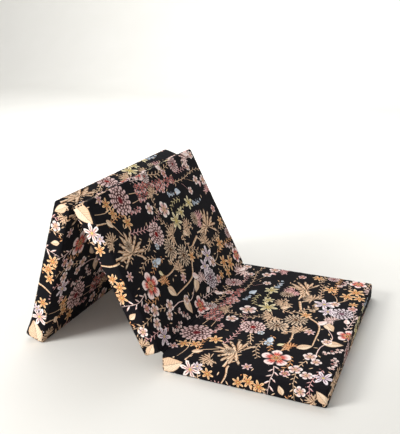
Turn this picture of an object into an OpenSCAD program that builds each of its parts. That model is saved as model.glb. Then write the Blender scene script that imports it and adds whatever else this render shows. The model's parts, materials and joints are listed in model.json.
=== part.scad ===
// Folding futon mattress: three foam panels in zipped fabric covers, joined by two sewn folds.
// Millimetres, +Z up. The part stands half folded: panel 1 lies on the floor, panels 2 and 3
// make a tent. The zips are on the +Y side.

/* [Panels] */
// length of one panel, from fold to fold
panel_l = 635; // [500:5:800]
// width of the mattress, along the folds
panel_w = 965; // [600:5:1400]
// thickness of one panel
panel_t = 76; // [50:1:150]
// radius of a panel's four upright corners, seen from above
corner_r = 12; // [6:1:30]

/* [Folds] */
// space between the fold line and the edge of each panel
fold_gap = 2.5; // [2:0.1:6]
// height of the fold line over the faces that it joins
fold_rise = 0.4; // [0.3:0.1:1]
// angle of panel 2 from lying flat, as the mattress stands
lean_angle = 62.8; // [45:0.1:75]
// running clearance between parts that move past each other
clear = 0.3; // [0.25:0.05:0.6]

/* [Cover] */
// thickness of the cover's fabric
cover_t = 1.2; // [0.8:0.1:2]

/* [Zip] */
// distance from a panel's end to the zip's first tooth
zip_margin = 42; // [30:1:120]
// half width of the opening between the two strips beside the zip
slot_half = 4.8; // [4.6:0.1:7]
// width of one half of the zip's tape
tape_w = 15; // [10:1:20]
// thickness of the zip's tape
tape_t = 0.8; // [0.5:0.1:1.2]
// space between the two halves of the zip
zip_split = 1.4; // [1:0.1:2]
// width of one row of zip teeth
coil_w = 2.4; // [2:0.1:3]
// height of the zip teeth over the tape
coil_h = 1.8; // [1.2:0.1:2.4]
// length of the slider
slider_l = 12; // [9:0.5:16]
// thickness of the slider's outer plate
plate_t = 1.2; // [0.8:0.1:2]
// length of the pull, from its pivot to its tip
pull_l = 24; // [15:1:40]
// width of the pull
pull_w = 8; // [7:0.5:12]

/* [Hidden] */
$fn = 48;

// heights and turns that follow from the sizes above
fold_z = panel_t + fold_rise;
pitch = panel_l + 2 * fold_gap;
fold23_z = fold_z + pitch * sin(lean_angle) - (panel_t + 2 * fold_rise) * cos(lean_angle);
reach = fold_gap + panel_l;
prop_angle = asin(fold23_z / sqrt(reach * reach + fold_rise * fold_rise)) + atan(fold_rise / reach);

// zip: distances along Y are measured outward from the cover's outer face, at y = panel_w
zip_z = panel_t / 2;
band_in = -cover_t;
tape_in = band_in - tape_t;
coil_out = band_in + coil_h;
plate_in = coil_out + clear;
plate_out = plate_in + plate_t;
under_out = tape_in - clear;
under_t = 1;
under_in = under_out - under_t;
coil_in = zip_split / 2;
coil_edge = coil_in + coil_w;
lip_in = coil_edge + clear;
lip_out = slot_half - 0.4;
plate_half = lip_out + 0.6;
stop_l = 3;
coil_x0 = zip_margin;
coil_x1 = panel_l - zip_margin;
coil_l = coil_x1 - coil_x0;
slider_x0 = coil_x1 - slider_l - 0.5;
zip_travel = coil_l - slider_l - 1;

// bridge over the slider, and the bar of the pull that turns under it
bar_r = 0.8;
bar_y = plate_out + clear + bar_r;
bridge_y = bar_y + bar_r + clear;
bridge_t = 1;
bridge_w = 3;
bridge_half = 4;
arm_in = bridge_w / 2 + clear;
arm_w = pull_w / 2 - arm_in;
pull_t = 1.2;
eye_l = 6;
zip_proud = bridge_y + bridge_t;

// the finished part is centred on the origin and stands on z = 0
fold23_x = -pitch * cos(lean_angle) - (panel_t + 2 * fold_rise) * sin(lean_angle);
x_low_in = fold23_x - reach * cos(prop_angle) - fold_rise * sin(prop_angle);
x_low = x_low_in - panel_t * sin(prop_angle);
x_high = fold_gap + panel_l;
x_shift = -(x_low + x_high) / 2;
y_shift = -(panel_w + zip_proud) / 2;

// puts a panel's own frame in its place: x runs away from its first fold, y towards the
// zip side, z from its bottom cover to its top cover
module on_panel(n) {
    translate([x_shift, y_shift, 0]) {
        if (n == 1) {
            translate([fold_gap, 0, 0]) children();
        }
        if (n == 2) {
            translate([0, 0, fold_z]) rotate([0, lean_angle, 0])
                mirror([1, 0, 0]) translate([fold_gap, 0, -fold_z]) children();
        }
        if (n == 3) {
            translate([fold23_x, 0, fold23_z]) rotate([0, -prop_angle, 0])
                mirror([1, 0, 0]) translate([fold_gap, 0, fold_rise]) children();
        }
    }
}

// a rectangle with four round corners, set in from the panel's outline
module outline(inset) {
    r = corner_r - inset;
    l = panel_l - 2 * inset;
    w = panel_w - 2 * inset;
    translate([inset, inset]) {
        translate([r, 0]) square([l - 2 * r, w]);
        translate([0, r]) square([l, w - 2 * r]);
        for (x = [r, l - r], y = [r, w - r]) translate([x, y]) circle(r);
    }
}

// a box given by its low and high corners
module span(low, high) {
    translate(low) cube(high - low);
}

// the foam block, with shallow recesses where the zip's tape and slider press into it
module foam_core(n) {
    color([0.93, 0.88, 0.72]) on_panel(n) difference() {
        translate([0, 0, cover_t]) linear_extrude(panel_t - 2 * cover_t) outline(cover_t);
        span([corner_r, panel_w + tape_in, zip_z - coil_in - tape_w],
             [panel_l - corner_r, panel_w, zip_z + coil_in + tape_w]);
        span([coil_x0 - 6, panel_w + under_in - 0.4, zip_z - plate_half],
             [coil_x1 + 6, panel_w, zip_z + plate_half]);
    }
}

// flat pieces of fabric on the two broad faces
module broad_cover(n, z) {
    color([0.12, 0.11, 0.13]) on_panel(n)
        translate([0, 0, z]) linear_extrude(cover_t) outline(0);
}
module top_cover(n) {
    broad_cover(n, panel_t - cover_t);
}
module bottom_cover(n) {
    broad_cover(n, 0);
}

// one strip round the front, both ends and all four corners
module side_band(n) {
    color([0.17, 0.16, 0.18]) on_panel(n) difference() {
        translate([0, 0, cover_t]) linear_extrude(panel_t - 2 * cover_t) difference() {
            outline(0);
            outline(cover_t);
        }
        span([corner_r, panel_w - corner_r, 0], [panel_l - corner_r, panel_w + 1, panel_t]);
    }
}

// two strips that hold the zip between them
module zip_band(n, z_low, z_high) {
    color([0.17, 0.16, 0.18]) on_panel(n)
        span([corner_r, panel_w - cover_t, z_low], [panel_l - corner_r, panel_w, z_high]);
}
module zip_band_upper(n) {
    zip_band(n, zip_z + slot_half, panel_t - cover_t);
}
module zip_band_lower(n) {
    zip_band(n, cover_t, zip_z - slot_half);
}

// the zip's woven tape, one half above its teeth and one below
module zip_tape(n, z_low, z_high) {
    color([0.08, 0.08, 0.09]) on_panel(n)
        span([corner_r, panel_w + tape_in, z_low], [panel_l - corner_r, panel_w + band_in, z_high]);
}
module zip_tape_upper(n) {
    zip_tape(n, zip_z + coil_in, zip_z + coil_in + tape_w);
}
module zip_tape_lower(n) {
    zip_tape(n, zip_z - coil_in - tape_w, zip_z - coil_in);
}

// a row of teeth, sewn to the edge of each half of the tape
module zip_coil(n, z_low, z_high) {
    color([0.10, 0.10, 0.11]) on_panel(n)
        span([coil_x0, panel_w + band_in, z_low], [coil_x1, panel_w + coil_out, z_high]);
}
module zip_coil_upper(n) {
    zip_coil(n, zip_z + coil_in, zip_z + coil_edge);
}
module zip_coil_lower(n) {
    zip_coil(n, zip_z - coil_edge, zip_z - coil_in);
}

// metal clamps across the tape at both ends of the teeth
module zip_stop(n, x) {
    color([0.45, 0.45, 0.47]) on_panel(n)
        span([x, panel_w + band_in, zip_z - coil_edge], [x + stop_l, panel_w + coil_out, zip_z + coil_edge]);
}
module zip_top_stop(n) {
    zip_stop(n, coil_x1);
}
module zip_bottom_stop(n) {
    zip_stop(n, coil_x0 - stop_l);
}

// the slider: two plates joined by a thin neck, side lips, and a bridge for the pull
module zip_slider(n) {
    mid = slider_x0 + slider_l / 2;
    color([0.30, 0.30, 0.32]) on_panel(n) translate([0, panel_w, zip_z]) {
        span([slider_x0, plate_in, -plate_half], [slider_x0 + slider_l, plate_out, plate_half]);
        span([slider_x0, under_in, -lip_out + 0.4], [slider_x0 + slider_l, under_out, lip_out - 0.4]);
        span([slider_x0 + slider_l - 4, under_in, -0.35], [slider_x0 + slider_l - 1, plate_out, 0.35]);
        span([slider_x0, -cover_t + clear, lip_in], [slider_x0 + slider_l, plate_out, lip_out]);
        span([slider_x0, -cover_t + clear, -lip_out], [slider_x0 + slider_l, plate_out, -lip_in]);
        for (side = [-1, 1])
            translate([mid + side * (bridge_half - 0.5), 0, 0])
                span([-0.5, plate_in, -bridge_w / 2], [0.5, zip_proud, bridge_w / 2]);
        span([mid - bridge_half, bridge_y, -bridge_w / 2], [mid + bridge_half, zip_proud, bridge_w / 2]);
    }
}

// the pull: a bar under the bridge, two arms beside it, and a flat tab
module zip_pull(n) {
    mid = slider_x0 + slider_l / 2;
    side = n == 3 ? 1 : -1;
    color([0.32, 0.32, 0.34]) on_panel(n) translate([mid, panel_w + bar_y, zip_z]) {
        translate([0, 0, -pull_w / 2]) cylinder(h = pull_w, r = bar_r);
        for (k = [-1, 1])
            span([side > 0 ? 0 : -eye_l, -pull_t / 2, k > 0 ? arm_in : -pull_w / 2],
                 [side > 0 ? eye_l : 0, pull_t / 2, k > 0 ? pull_w / 2 : -arm_in]);
        span([side > 0 ? eye_l : -pull_l, -pull_t / 2, -pull_w / 2],
             [side > 0 ? pull_l : -eye_l, pull_t / 2, pull_w / 2]);
    }
}

// the sewn fold: a seam roll in the valley between two panels, sewn to the edge of one cover
module seam_section() {
    r = fold_gap - clear;
    intersection() {
        translate([0, fold_rise]) circle(r);
        translate([-r, -r]) square([2 * r, r]);
    }
    translate([0, -cover_t]) square([fold_gap, cover_t]);
}
module fold_seam_12() {
    color([0.14, 0.13, 0.15]) on_panel(1)
        translate([-fold_gap, panel_w - corner_r, panel_t]) rotate([90, 0, 0])
            linear_extrude(panel_w - 2 * corner_r) seam_section();
}
module fold_seam_23() {
    color([0.14, 0.13, 0.15]) on_panel(2)
        translate([panel_l + fold_gap, panel_w - corner_r, 0]) rotate([90, 0, 0])
            linear_extrude(panel_w - 2 * corner_r) rotate([0, 0, 180]) seam_section();
}

foam_core(1);  // foam_core_1
top_cover(1);  // top_cover_1
bottom_cover(1);  // bottom_cover_1
side_band(1);  // side_band_1
zip_band_upper(1);  // zip_band_upper_1
zip_band_lower(1);  // zip_band_lower_1
zip_tape_upper(1);  // zip_tape_upper_1
zip_tape_lower(1);  // zip_tape_lower_1
zip_coil_upper(1);  // zip_coil_upper_1
zip_coil_lower(1);  // zip_coil_lower_1
zip_top_stop(1);  // zip_top_stop_1
zip_bottom_stop(1);  // zip_bottom_stop_1
zip_slider(1);  // zip_slider_1
zip_pull(1);  // zip_pull_1
foam_core(2);  // foam_core_2
top_cover(2);  // top_cover_2
bottom_cover(2);  // bottom_cover_2
side_band(2);  // side_band_2
zip_band_upper(2);  // zip_band_upper_2
zip_band_lower(2);  // zip_band_lower_2
zip_tape_upper(2);  // zip_tape_upper_2
zip_tape_lower(2);  // zip_tape_lower_2
zip_coil_upper(2);  // zip_coil_upper_2
zip_coil_lower(2);  // zip_coil_lower_2
zip_top_stop(2);  // zip_top_stop_2
zip_bottom_stop(2);  // zip_bottom_stop_2
zip_slider(2);  // zip_slider_2
zip_pull(2);  // zip_pull_2
foam_core(3);  // foam_core_3
top_cover(3);  // top_cover_3
bottom_cover(3);  // bottom_cover_3
side_band(3);  // side_band_3
zip_band_upper(3);  // zip_band_upper_3
zip_band_lower(3);  // zip_band_lower_3
zip_tape_upper(3);  // zip_tape_upper_3
zip_tape_lower(3);  // zip_tape_lower_3
zip_coil_upper(3);  // zip_coil_upper_3
zip_coil_lower(3);  // zip_coil_lower_3
zip_top_stop(3);  // zip_top_stop_3
zip_bottom_stop(3);  // zip_bottom_stop_3
zip_slider(3);  // zip_slider_3
zip_pull(3);  // zip_pull_3
fold_seam_12();
fold_seam_23();
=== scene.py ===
# %% [markdown]
# # A folding futon mattress
# Three foam blocks in zipped fabric covers are joined by two sewn folds. One panel lies on
# the floor and the other two stand over it like a tent. The CAD model gives every size and
# place. What Blender adds is the cloth: soft crowned faces, stitched edges with their small
# puckers, a woven ground and a printed garden of flowers.

# %% Loading the frame
import json
import math

import bmesh
import bpy
import numpy as np
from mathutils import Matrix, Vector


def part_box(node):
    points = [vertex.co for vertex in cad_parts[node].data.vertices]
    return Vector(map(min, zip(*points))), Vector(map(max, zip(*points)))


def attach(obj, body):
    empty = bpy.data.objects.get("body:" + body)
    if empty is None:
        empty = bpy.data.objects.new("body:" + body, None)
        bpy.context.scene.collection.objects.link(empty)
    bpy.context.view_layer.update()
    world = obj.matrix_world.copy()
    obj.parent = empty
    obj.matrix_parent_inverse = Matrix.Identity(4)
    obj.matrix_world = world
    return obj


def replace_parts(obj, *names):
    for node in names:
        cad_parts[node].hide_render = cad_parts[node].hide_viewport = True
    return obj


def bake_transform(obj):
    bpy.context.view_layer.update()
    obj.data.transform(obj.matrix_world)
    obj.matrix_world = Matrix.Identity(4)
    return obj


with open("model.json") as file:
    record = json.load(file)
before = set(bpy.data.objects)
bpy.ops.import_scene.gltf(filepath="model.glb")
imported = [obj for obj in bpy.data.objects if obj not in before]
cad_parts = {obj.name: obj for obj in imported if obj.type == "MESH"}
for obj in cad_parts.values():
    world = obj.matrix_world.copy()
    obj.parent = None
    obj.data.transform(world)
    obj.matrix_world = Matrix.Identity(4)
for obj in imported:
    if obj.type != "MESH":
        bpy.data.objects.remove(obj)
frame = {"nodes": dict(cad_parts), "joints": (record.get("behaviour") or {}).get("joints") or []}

scene = bpy.context.scene
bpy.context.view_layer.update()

# %% [markdown]
# ## Working on the mattress laid flat
# A folded mattress is awkward to shape, so every cover is worked out as if the mattress lay
# open on the floor, and is then turned into its place. The two folds come from the model's
# joints: each one's range says how far it is from lying flat.

# %% The folds and the panels laid flat
joints = {joint["name"]: joint for joint in frame["joints"]}
fold_12 = np.array(joints["fold_12"]["pos_m"])
fold_23 = np.array(joints["fold_23"]["pos_m"])
lean = math.radians(-joints["fold_12"]["range_deg"][0])
bend = math.radians(joints["fold_23"]["range_deg"][1])


def turn(points, pivot, angle):
    """Turns points about the Y line through pivot: x and z trade places by sine and cosine."""
    x, z = points[..., 0] - pivot[0], points[..., 2] - pivot[2]
    turned = np.array(points, float)
    turned[..., 0] = pivot[0] + x * math.cos(angle) + z * math.sin(angle)
    turned[..., 2] = pivot[2] - x * math.sin(angle) + z * math.cos(angle)
    return turned


fold_23_flat = turn(fold_23, fold_12, -lean)


def fold_up(points, panel):
    """Carries points of a panel from the flat mattress to where that panel stands."""
    if panel == 3:
        points = turn(points, fold_23_flat, -bend)
    if panel >= 2:
        points = turn(points, fold_12, lean)
    return points


plate_low, plate_high = (np.array(corner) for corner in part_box("top_cover_1"))
LENGTH, WIDTH = plate_high[0] - plate_low[0], plate_high[1] - plate_low[1]
THICK = plate_high[2]
GAP = plate_low[0] - fold_12[0]
PITCH = LENGTH + 2 * GAP
CORNER = 0.012


def flat_box(panel):
    """The low and high corner of a panel on the flat mattress, each one pitch on from the last."""
    x = plate_low[0] - (panel - 1) * PITCH
    return np.array([x, plate_low[1], 0.0]), np.array([x + LENGTH, plate_high[1], THICK])


print("panel", round(LENGTH, 3), round(WIDTH, 3), round(THICK, 3), "pitch", round(PITCH, 3))

# %% [markdown]
# ## Surfaces from grids
# Each piece of fabric is a grid of points that numpy works out in one go. The grid is finer
# beside its edges, where cloth rolls into a seam, than in the middle, where it lies smooth.

# %% A ruler and a mesh from a grid
EDGE_MARKS = np.array([0.0, 0.0008, 0.002, 0.004, 0.007, 0.011])
STEP = 0.0054


def ruler(length, step=STEP, marks=EDGE_MARKS):
    """Marks along a length: close together at both ends, evenly spaced between."""
    last = marks[-1]
    middle = np.linspace(last, length - last, max(2, round((length - 2 * last) / step)))
    return np.concatenate([marks[:-1], middle, length - marks[:-1][::-1]])


def grid_faces(rows, columns, flip=False):
    """Corner numbers of the quads between neighbouring rows and columns of a grid."""
    number = np.arange(rows * columns).reshape(rows, columns)
    quads = np.stack([number[:-1, :-1], number[1:, :-1], number[1:, 1:], number[:-1, 1:]], -1)
    quads = quads.reshape(-1, 4)
    return quads[:, ::-1] if flip else quads


def mesh_piece(name, points, faces):
    """Makes an object from an array of points and an array of quads, smooth all over."""
    mesh = bpy.data.meshes.new(name)
    mesh.vertices.add(len(points))
    mesh.vertices.foreach_set("co", np.ascontiguousarray(points, np.float32).ravel())
    mesh.loops.add(faces.size)
    mesh.loops.foreach_set("vertex_index", np.ascontiguousarray(faces, np.int32).ravel())
    mesh.polygons.add(len(faces))
    mesh.polygons.foreach_set("loop_start", np.arange(0, faces.size, faces.shape[1], dtype=np.int32))
    mesh.polygons.foreach_set("use_smooth", np.ones(len(faces), bool))
    mesh.update(calc_edges=True)
    mesh.validate()
    piece = bpy.data.objects.new(name, mesh)
    scene.collection.objects.link(piece)
    return piece


# %% [markdown]
# ## How a stuffed cover differs from a box
# Foam pushes the broad faces up a little in the middle. Each edge is a seam: the fabric turns
# over it in a tight roll, and the stitches draw it in, so that a row of tiny puckers runs
# along it. The puckers are sums of sine waves with fixed random phases, and they fade away
# from the seam and towards each corner.

# %% Roll, crown and puckers
ROLL = 0.0042  # radius of the turn into a seam
SEAM_IN = 0.0016  # how far the stitches draw a seam in
CROWN = 0.0026  # how far the middle of a face stands above its edge
CROWN_REACH = 0.085  # how far in from the edge the plain part of that rise goes
PUCKER_LENGTHS = np.array([0.016, 0.021, 0.029, 0.041, 0.060, 0.090])
PUCKER_RISE = 0.0011
rng = np.random.default_rng(851)
WAVES = rng.uniform(0.0, 2 * math.pi, (3, 2, 4, len(PUCKER_LENGTHS)))


def smooth(x):
    """0 below 0, 1 above 1, and an S-curve between."""
    x = np.clip(x, 0.0, 1.0)
    return x * x * (3 - 2 * x)


def pucker(panel, level, side, along, length):
    """Waves beside the seam of each point's side, about -1 to 1, dying out 35 mm from its ends."""
    phase = WAVES[panel - 1, level][side]
    waves = np.sin(along[..., None] * 2 * math.pi / PUCKER_LENGTHS + phase)
    total = (waves * (PUCKER_LENGTHS / 0.06) ** 0.5).sum(-1)
    return total / 3.2 * smooth(np.minimum(along, length - along) / 0.035)


def nearest_side(x, y):
    """For points on a broad face: the nearest side, how far it is, and the place along it."""
    ways = np.stack([y, LENGTH - x, WIDTH - y, x])
    side = ways.argmin(0)
    along = np.where(side % 2 == 0, x, y)
    length = np.where(side % 2 == 0, LENGTH, WIDTH)
    return side, ways.min(0), along, length


# %% [markdown]
# ## Letting the cloth settle
# The small, uneven swell of the fabric comes from a cloth simulation. A coarse closed bag of
# each panel is held along its seams, grown by a fraction of a percent and blown up slightly.
# How far each point moved outward, as a part of the most that any did, is kept, and the fine
# covers take their crown from it. That caps the swell, and the face on the floor stays flat.

# %% The cloth simulation
SIM_STEP = 0.016
SIM_FRAMES = 20
CLOTH_RULES = {
    "quality": 5, "mass": 0.3, "air_damping": 3, "tension_stiffness": 25, "compression_stiffness": 25,
    "shear_stiffness": 8, "bending_stiffness": 1.5, "vertex_group_mass": "seams",
    "shrink_min": -0.0035, "use_pressure": True, "uniform_pressure_force": 1.2}
FACINGS = {
    "top": (0, 0, 1), "bottom": (0, 0, -1), 0: (0, -1, 0), 1: (1, 0, 0), 2: (0, 1, 0), 3: (-1, 0, 0)}


def box_shell(nx, ny, nz):
    """A closed box of six grids that share edges: grid places, quads, each side's point numbers."""
    i, j, k = np.meshgrid(np.arange(nx), np.arange(ny), np.arange(nz), indexing="ij")
    cube = np.stack([i, j, k], -1)
    sides = {
        "top": cube[:, :, -1], "bottom": cube[:, :, 0],
        0: cube[:, 0, :], 2: cube[:, -1, :], 1: cube[-1, :, :], 3: cube[0, :, :]}
    places, number = np.unique(
        np.concatenate([side.reshape(-1, 3) for side in sides.values()]), axis=0, return_inverse=True)
    number, start, numbers, quads = number.ravel(), 0, {}, []
    for key, side in sides.items():
        rows, columns = side.shape[:2]
        numbers[key] = number[start : start + rows * columns].reshape(rows, columns)
        quads.append(numbers[key].ravel()[grid_faces(rows, columns, flip=key in ("bottom", 2, 3))])
        start += rows * columns
    return places, np.concatenate(quads), numbers


def settle(panel):
    """Swells a closed bag with Cloth; gives each side's outward moves as parts of the largest."""
    xs = np.linspace(0, LENGTH, round(LENGTH / SIM_STEP) + 1)
    ys = np.linspace(0, WIDTH, round(WIDTH / SIM_STEP) + 1)
    zs = np.linspace(0, THICK, 6)
    places, quads, numbers = box_shell(len(xs), len(ys), len(zs))
    points = np.stack([xs[places[:, 0]], ys[places[:, 1]], zs[places[:, 2]]], -1)
    seam = (places % (np.array([len(xs), len(ys), len(zs)]) - 1) == 0).sum(1) >= 2
    shake = np.random.default_rng(40 + panel).normal(0, 0.0004, points.shape)
    bag = mesh_piece("bag", points + shake * ~seam[:, None], quads)
    held = bag.vertex_groups.new(name="seams")
    held.add([int(i) for i in np.flatnonzero(seam)], 1.0, "REPLACE")
    cloth = bag.modifiers.new("Cloth", "CLOTH")
    for rule, value in CLOTH_RULES.items():
        setattr(cloth.settings, rule, value)
    cloth.settings.effector_weights.gravity = 0.0
    cloth.point_cache.frame_start, cloth.point_cache.frame_end = 1, SIM_FRAMES
    for step in range(1, SIM_FRAMES + 1):
        scene.frame_set(step)
    settled = bag.evaluated_get(bpy.context.evaluated_depsgraph_get())
    found = np.empty(len(points) * 3, np.float32)
    settled.data.vertices.foreach_get("co", found)
    moved = found.reshape(-1, 3) - points
    scene.frame_set(1)
    bpy.data.objects.remove(bag)
    moves = {}
    for key, side in numbers.items():
        out = moved[side] @ np.array(FACINGS[key], float)
        print("   ", panel, key, "moved", *(round(end * 1000, 1) for end in (out.min(), out.max())), "mm")
        moves[key] = np.clip(out / max(np.percentile(out, 99), 1e-6), 0, 1)
    return moves


def sample(field, u, v):
    """Reads a coarse grid at u, v from 0 to 1 with smooth cubic (Catmull-Rom) weights."""
    def weights(t):
        return np.stack([
            -0.5 * t + t**2 - 0.5 * t**3, 1 - 2.5 * t**2 + 1.5 * t**3,
            0.5 * t + 2 * t**2 - 1.5 * t**3, -0.5 * t**2 + 0.5 * t**3])
    a, b = u * (field.shape[0] - 1), v * (field.shape[1] - 1)
    i = np.clip(np.floor(a).astype(int), 0, field.shape[0] - 2)
    j = np.clip(np.floor(b).astype(int), 0, field.shape[1] - 2)
    wa, wb = weights(a - i), weights(b - j)
    total = np.zeros(np.broadcast(u, v).shape)
    for p in range(4):
        for q in range(4):
            ii = np.clip(i + p - 1, 0, field.shape[0] - 1)
            jj = np.clip(j + q - 1, 0, field.shape[1] - 1)
            total += wa[p] * wb[q] * field[ii, jj]
    return total


swell = {panel: settle(panel) for panel in (1, 2, 3)}
print("settled", list(swell))

# %% [markdown]
# ## The broad faces
# A top or bottom cover is a rectangle with four round corners. The square grid's corner cells
# are pressed into quarter circles. Height follows the distance from the nearest seam: a
# quarter-round roll right at the edge, then a slow rise to the crown. One more row turns in
# under the seam, as the seam allowance does, so no gap can show.

# %% Broad covers
def round_corners(x, y, length, width, radius):
    """Presses the square shells of each corner on to circles: the larger offset is the radius."""
    dx = np.where(x < radius, radius - x, np.where(x > length - radius, x - (length - radius), 0))
    dy = np.where(y < radius, radius - y, np.where(y > width - radius, y - (width - radius), 0))
    both = (dx > 0) & (dy > 0)
    size = np.where(both, np.hypot(dx, dy), 1.0)
    scale = np.where(both, np.maximum(dx, dy) / size, 1.0)
    x = np.where(both, np.where(x < radius, radius - dx * scale, length - radius + dx * scale), x)
    y = np.where(both, np.where(y < radius, radius - dy * scale, width - radius + dy * scale), y)
    return x, y


def seam_height(panel, level):
    """Height of the top (level 1) or bottom (level 0) seam: a roll and the crown in from the face."""
    fall = ROLL + (0.0 if (panel, level) == (1, 0) else CROWN)
    return THICK - fall if level else fall


def broad_points(panel, level):
    """Grid of a top (level 1) or bottom (level 0) cover on the flat mattress, and its X and Y."""
    low, _ = flat_box(panel)
    x, y = np.meshgrid(ruler(LENGTH), ruler(WIDTH), indexing="ij")
    side, inward, along, length = nearest_side(x, y)
    lying = (panel, level) == (1, 0)
    roll = ROLL * (1 - np.sqrt(1 - (1 - np.clip(inward / ROLL, 0, 1)) ** 2))
    swollen = sample(swell[panel]["top" if level else "bottom"], x / LENGTH, y / WIDTH)
    crown = (0.0 if lying else CROWN) * (1 - 0.45 * smooth(inward / CROWN_REACH) - 0.55 * swollen)
    waves = pucker(panel, level, side, along, length) * PUCKER_RISE
    depth = roll + crown - waves * np.exp(-inward / 0.014) * np.clip(inward / 0.003, 0, 1)
    depth = np.maximum(depth, 0.0)
    inner_length, inner_width = LENGTH - 2 * SEAM_IN, WIDTH - 2 * SEAM_IN
    fx, fy = round_corners(
        x * inner_length / LENGTH, y * inner_width / WIDTH, inner_length, inner_width, CORNER - SEAM_IN)
    z = THICK - depth if level else depth
    points = np.stack([low[0] + SEAM_IN + fx, low[1] + SEAM_IN + fy, z], -1)
    return points, SEAM_IN + fx, SEAM_IN + fy


def tuck_rim(points, level):
    """Adds a last ring to a grid: its border, 2 mm towards the middle and 1.5 mm into the panel."""
    middle = points.reshape(-1, 3).mean(0)
    ring = np.pad(points, ((1, 1), (1, 1), (0, 0)), mode="edge")
    border = np.zeros(ring.shape[:2], bool)
    border[[0, -1], :] = border[:, [0, -1]] = True
    toward = np.sign(middle - ring) * 0.002
    toward[..., 2] = -0.0015 if level else 0.0015
    return np.where(border[..., None], ring + toward, ring)


# %% [markdown]
# ## The bands
# A strip of fabric runs round the panel between the two broad faces. It is carried along the
# panel's outline. It starts a little inside the outline at each seam and comes out to its full
# place within a few millimetres, which leaves the fine groove that a real seam has.

# %% Bands round the panel
def outline(step=STEP):
    """Round the front and both ends from the back left corner: points, outward ways and sides."""
    r, arc = CORNER, np.linspace(0, 1, 7)[1:-1]
    runs = [
        (3, (0, WIDTH - r), (0, r), (-1, 0), (r, r)),
        (0, (r, 0), (LENGTH - r, 0), (0, -1), (LENGTH - r, r)),
        (1, (LENGTH, r), (LENGTH, WIDTH - r), (1, 0), (LENGTH - r, WIDTH - r))]
    angle = math.pi / 2 + math.pi / 2 * np.concatenate([[0.0], arc])
    outs = [np.stack([np.cos(angle), np.sin(angle)], -1)]
    points = [np.array([r, WIDTH - r]) + r * outs[0]]
    sides = [np.where(angle < 0.75 * math.pi, 2, 3)]
    for run, (side, first, last, out, centre) in enumerate(runs):
        t = np.linspace(0, 1, max(2, round(math.dist(first, last) / step)))[:, None]
        points.append(np.array(first) * (1 - t) + np.array(last) * t)
        outs.append(np.tile(np.array(out, float), (len(t), 1)))
        sides.append(np.full(len(t), side))
        angle = math.pi + run * math.pi / 2 + math.pi / 2 * arc
        if run == 2:
            angle = np.concatenate([angle, [angle[-1] + math.pi / 2 * (1 - arc[-1])]])
        outs.append(np.stack([np.cos(angle), np.sin(angle)], -1))
        points.append(np.array(centre) + r * outs[-1])
        sides.append(np.where(angle < angle[0] + math.pi / 4, side, (side + 1) % 4))
    return np.concatenate(points), np.concatenate(outs), np.concatenate(sides)


def band_points(panel, path, outs, sides, low_z, high_z, hemmed):
    """Carries the band's height profile along a path: seam groove, small belly, puckers and swell."""
    low, _ = flat_box(panel)
    zs = low_z + ruler(high_z - low_z, step=0.0048)
    off = np.zeros((len(path), len(zs)))
    along = np.where(sides % 2 == 0, path[:, 0], path[:, 1])
    length = np.where(sides % 2 == 0, LENGTH, WIDTH)
    lift = np.zeros_like(off)
    for level, seam in ((0, low_z), (1, high_z)):
        if level in hemmed:
            continue
        away = np.abs(zs - seam)
        off -= SEAM_IN * (1 - np.sin(np.clip(away / 0.006, 0, 1) * math.pi / 2))
        wave = pucker(panel, level, sides, along, length)[:, None]
        off += wave * 0.0009 * np.clip(away / 0.003, 0, 1) * np.exp(-away / 0.013)
        lift += (1 if level else -1) * wave * PUCKER_RISE * np.exp(-away / 0.006)
    belly = np.sin(math.pi * zs / THICK)
    off += 0.0005 * belly
    for side in np.unique(sides):
        here = sides == side
        run, place = length[here], along[here]
        share = np.broadcast_to((place / run)[:, None], (here.sum(), len(zs)))
        out = sample(swell[panel][side], share, zs[None, :] / THICK)
        ends = smooth(np.minimum(place, run - place) / 0.03)
        off[here] += 0.0007 * out * ends[:, None] * belly
    plan = path[:, None, :] + outs[:, None, :] * off[..., None]
    z = zs[None, :] + lift
    points = np.concatenate([plan + low[:2], z[..., None]], -1)
    return points, zs


# %% [markdown]
# ## Touching the floor
# The free end of panel 3 stands on the floor, and foam under a sharp edge gives way. Points
# close to the floor are drawn down to it, and any that would pass through are laid flat on it.
# The outer side bulges a little there. The inner side doesn't, so that the panel still folds
# flat against its neighbour, and neither does the strip that holds the zip.

# %% Standing on the floor
BULGE = 0.42  # how much thicker the outer half is at the very end
BULGE_REACH = 0.11
CLEAR_OF_ZIP = 0.008
SINK = 0.0042  # how far the end is pressed down
SINK_REACH = 0.045


def stand(points, panel):
    """Folds a panel's points up into place, and presses panel 3's free end flat on the floor."""
    if panel == 3:
        low, _ = flat_box(3)
        bulge = BULGE * (1 - smooth((points[..., 0] - low[0]) / BULGE_REACH))
        points = np.array(points)
        points[..., 2] += np.maximum(points[..., 2] - THICK / 2 - CLEAR_OF_ZIP, 0.0) * bulge
    points = fold_up(points, panel)
    if panel == 3:
        points[..., 2] -= SINK * (1 - smooth(points[..., 2] / SINK_REACH))
        points[..., 2] = np.maximum(points[..., 2], 0.0002)
    return points


# %% [markdown]
# ## Where the print lies on the cloth
# The fabric is printed in repeats as wide as one panel, so the same garden comes round on
# every panel. Cloth coordinates are metres on the unfolded fabric: X runs along the mattress
# and Y across it, and they run on over each seam on to the bands. They are kept for each
# corner of each face, because round the upright corners one side's cloth ends where another's
# begins.

# %% Cloth coordinates
UNDER_SHIFT = 0.205  # where in the repeat the underside is cut from
END_SHIFT = 0.225  # and the short ends of the bands


def broad_cloth(panel, x, y, level):
    """Cloth coordinates of a broad face: plain X and Y, or mirrored in X on the underside."""
    low, _ = flat_box(panel)
    along = low[0] + x - fold_12[0]
    return np.stack([along if level else UNDER_SHIFT - along, y], -1)


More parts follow.
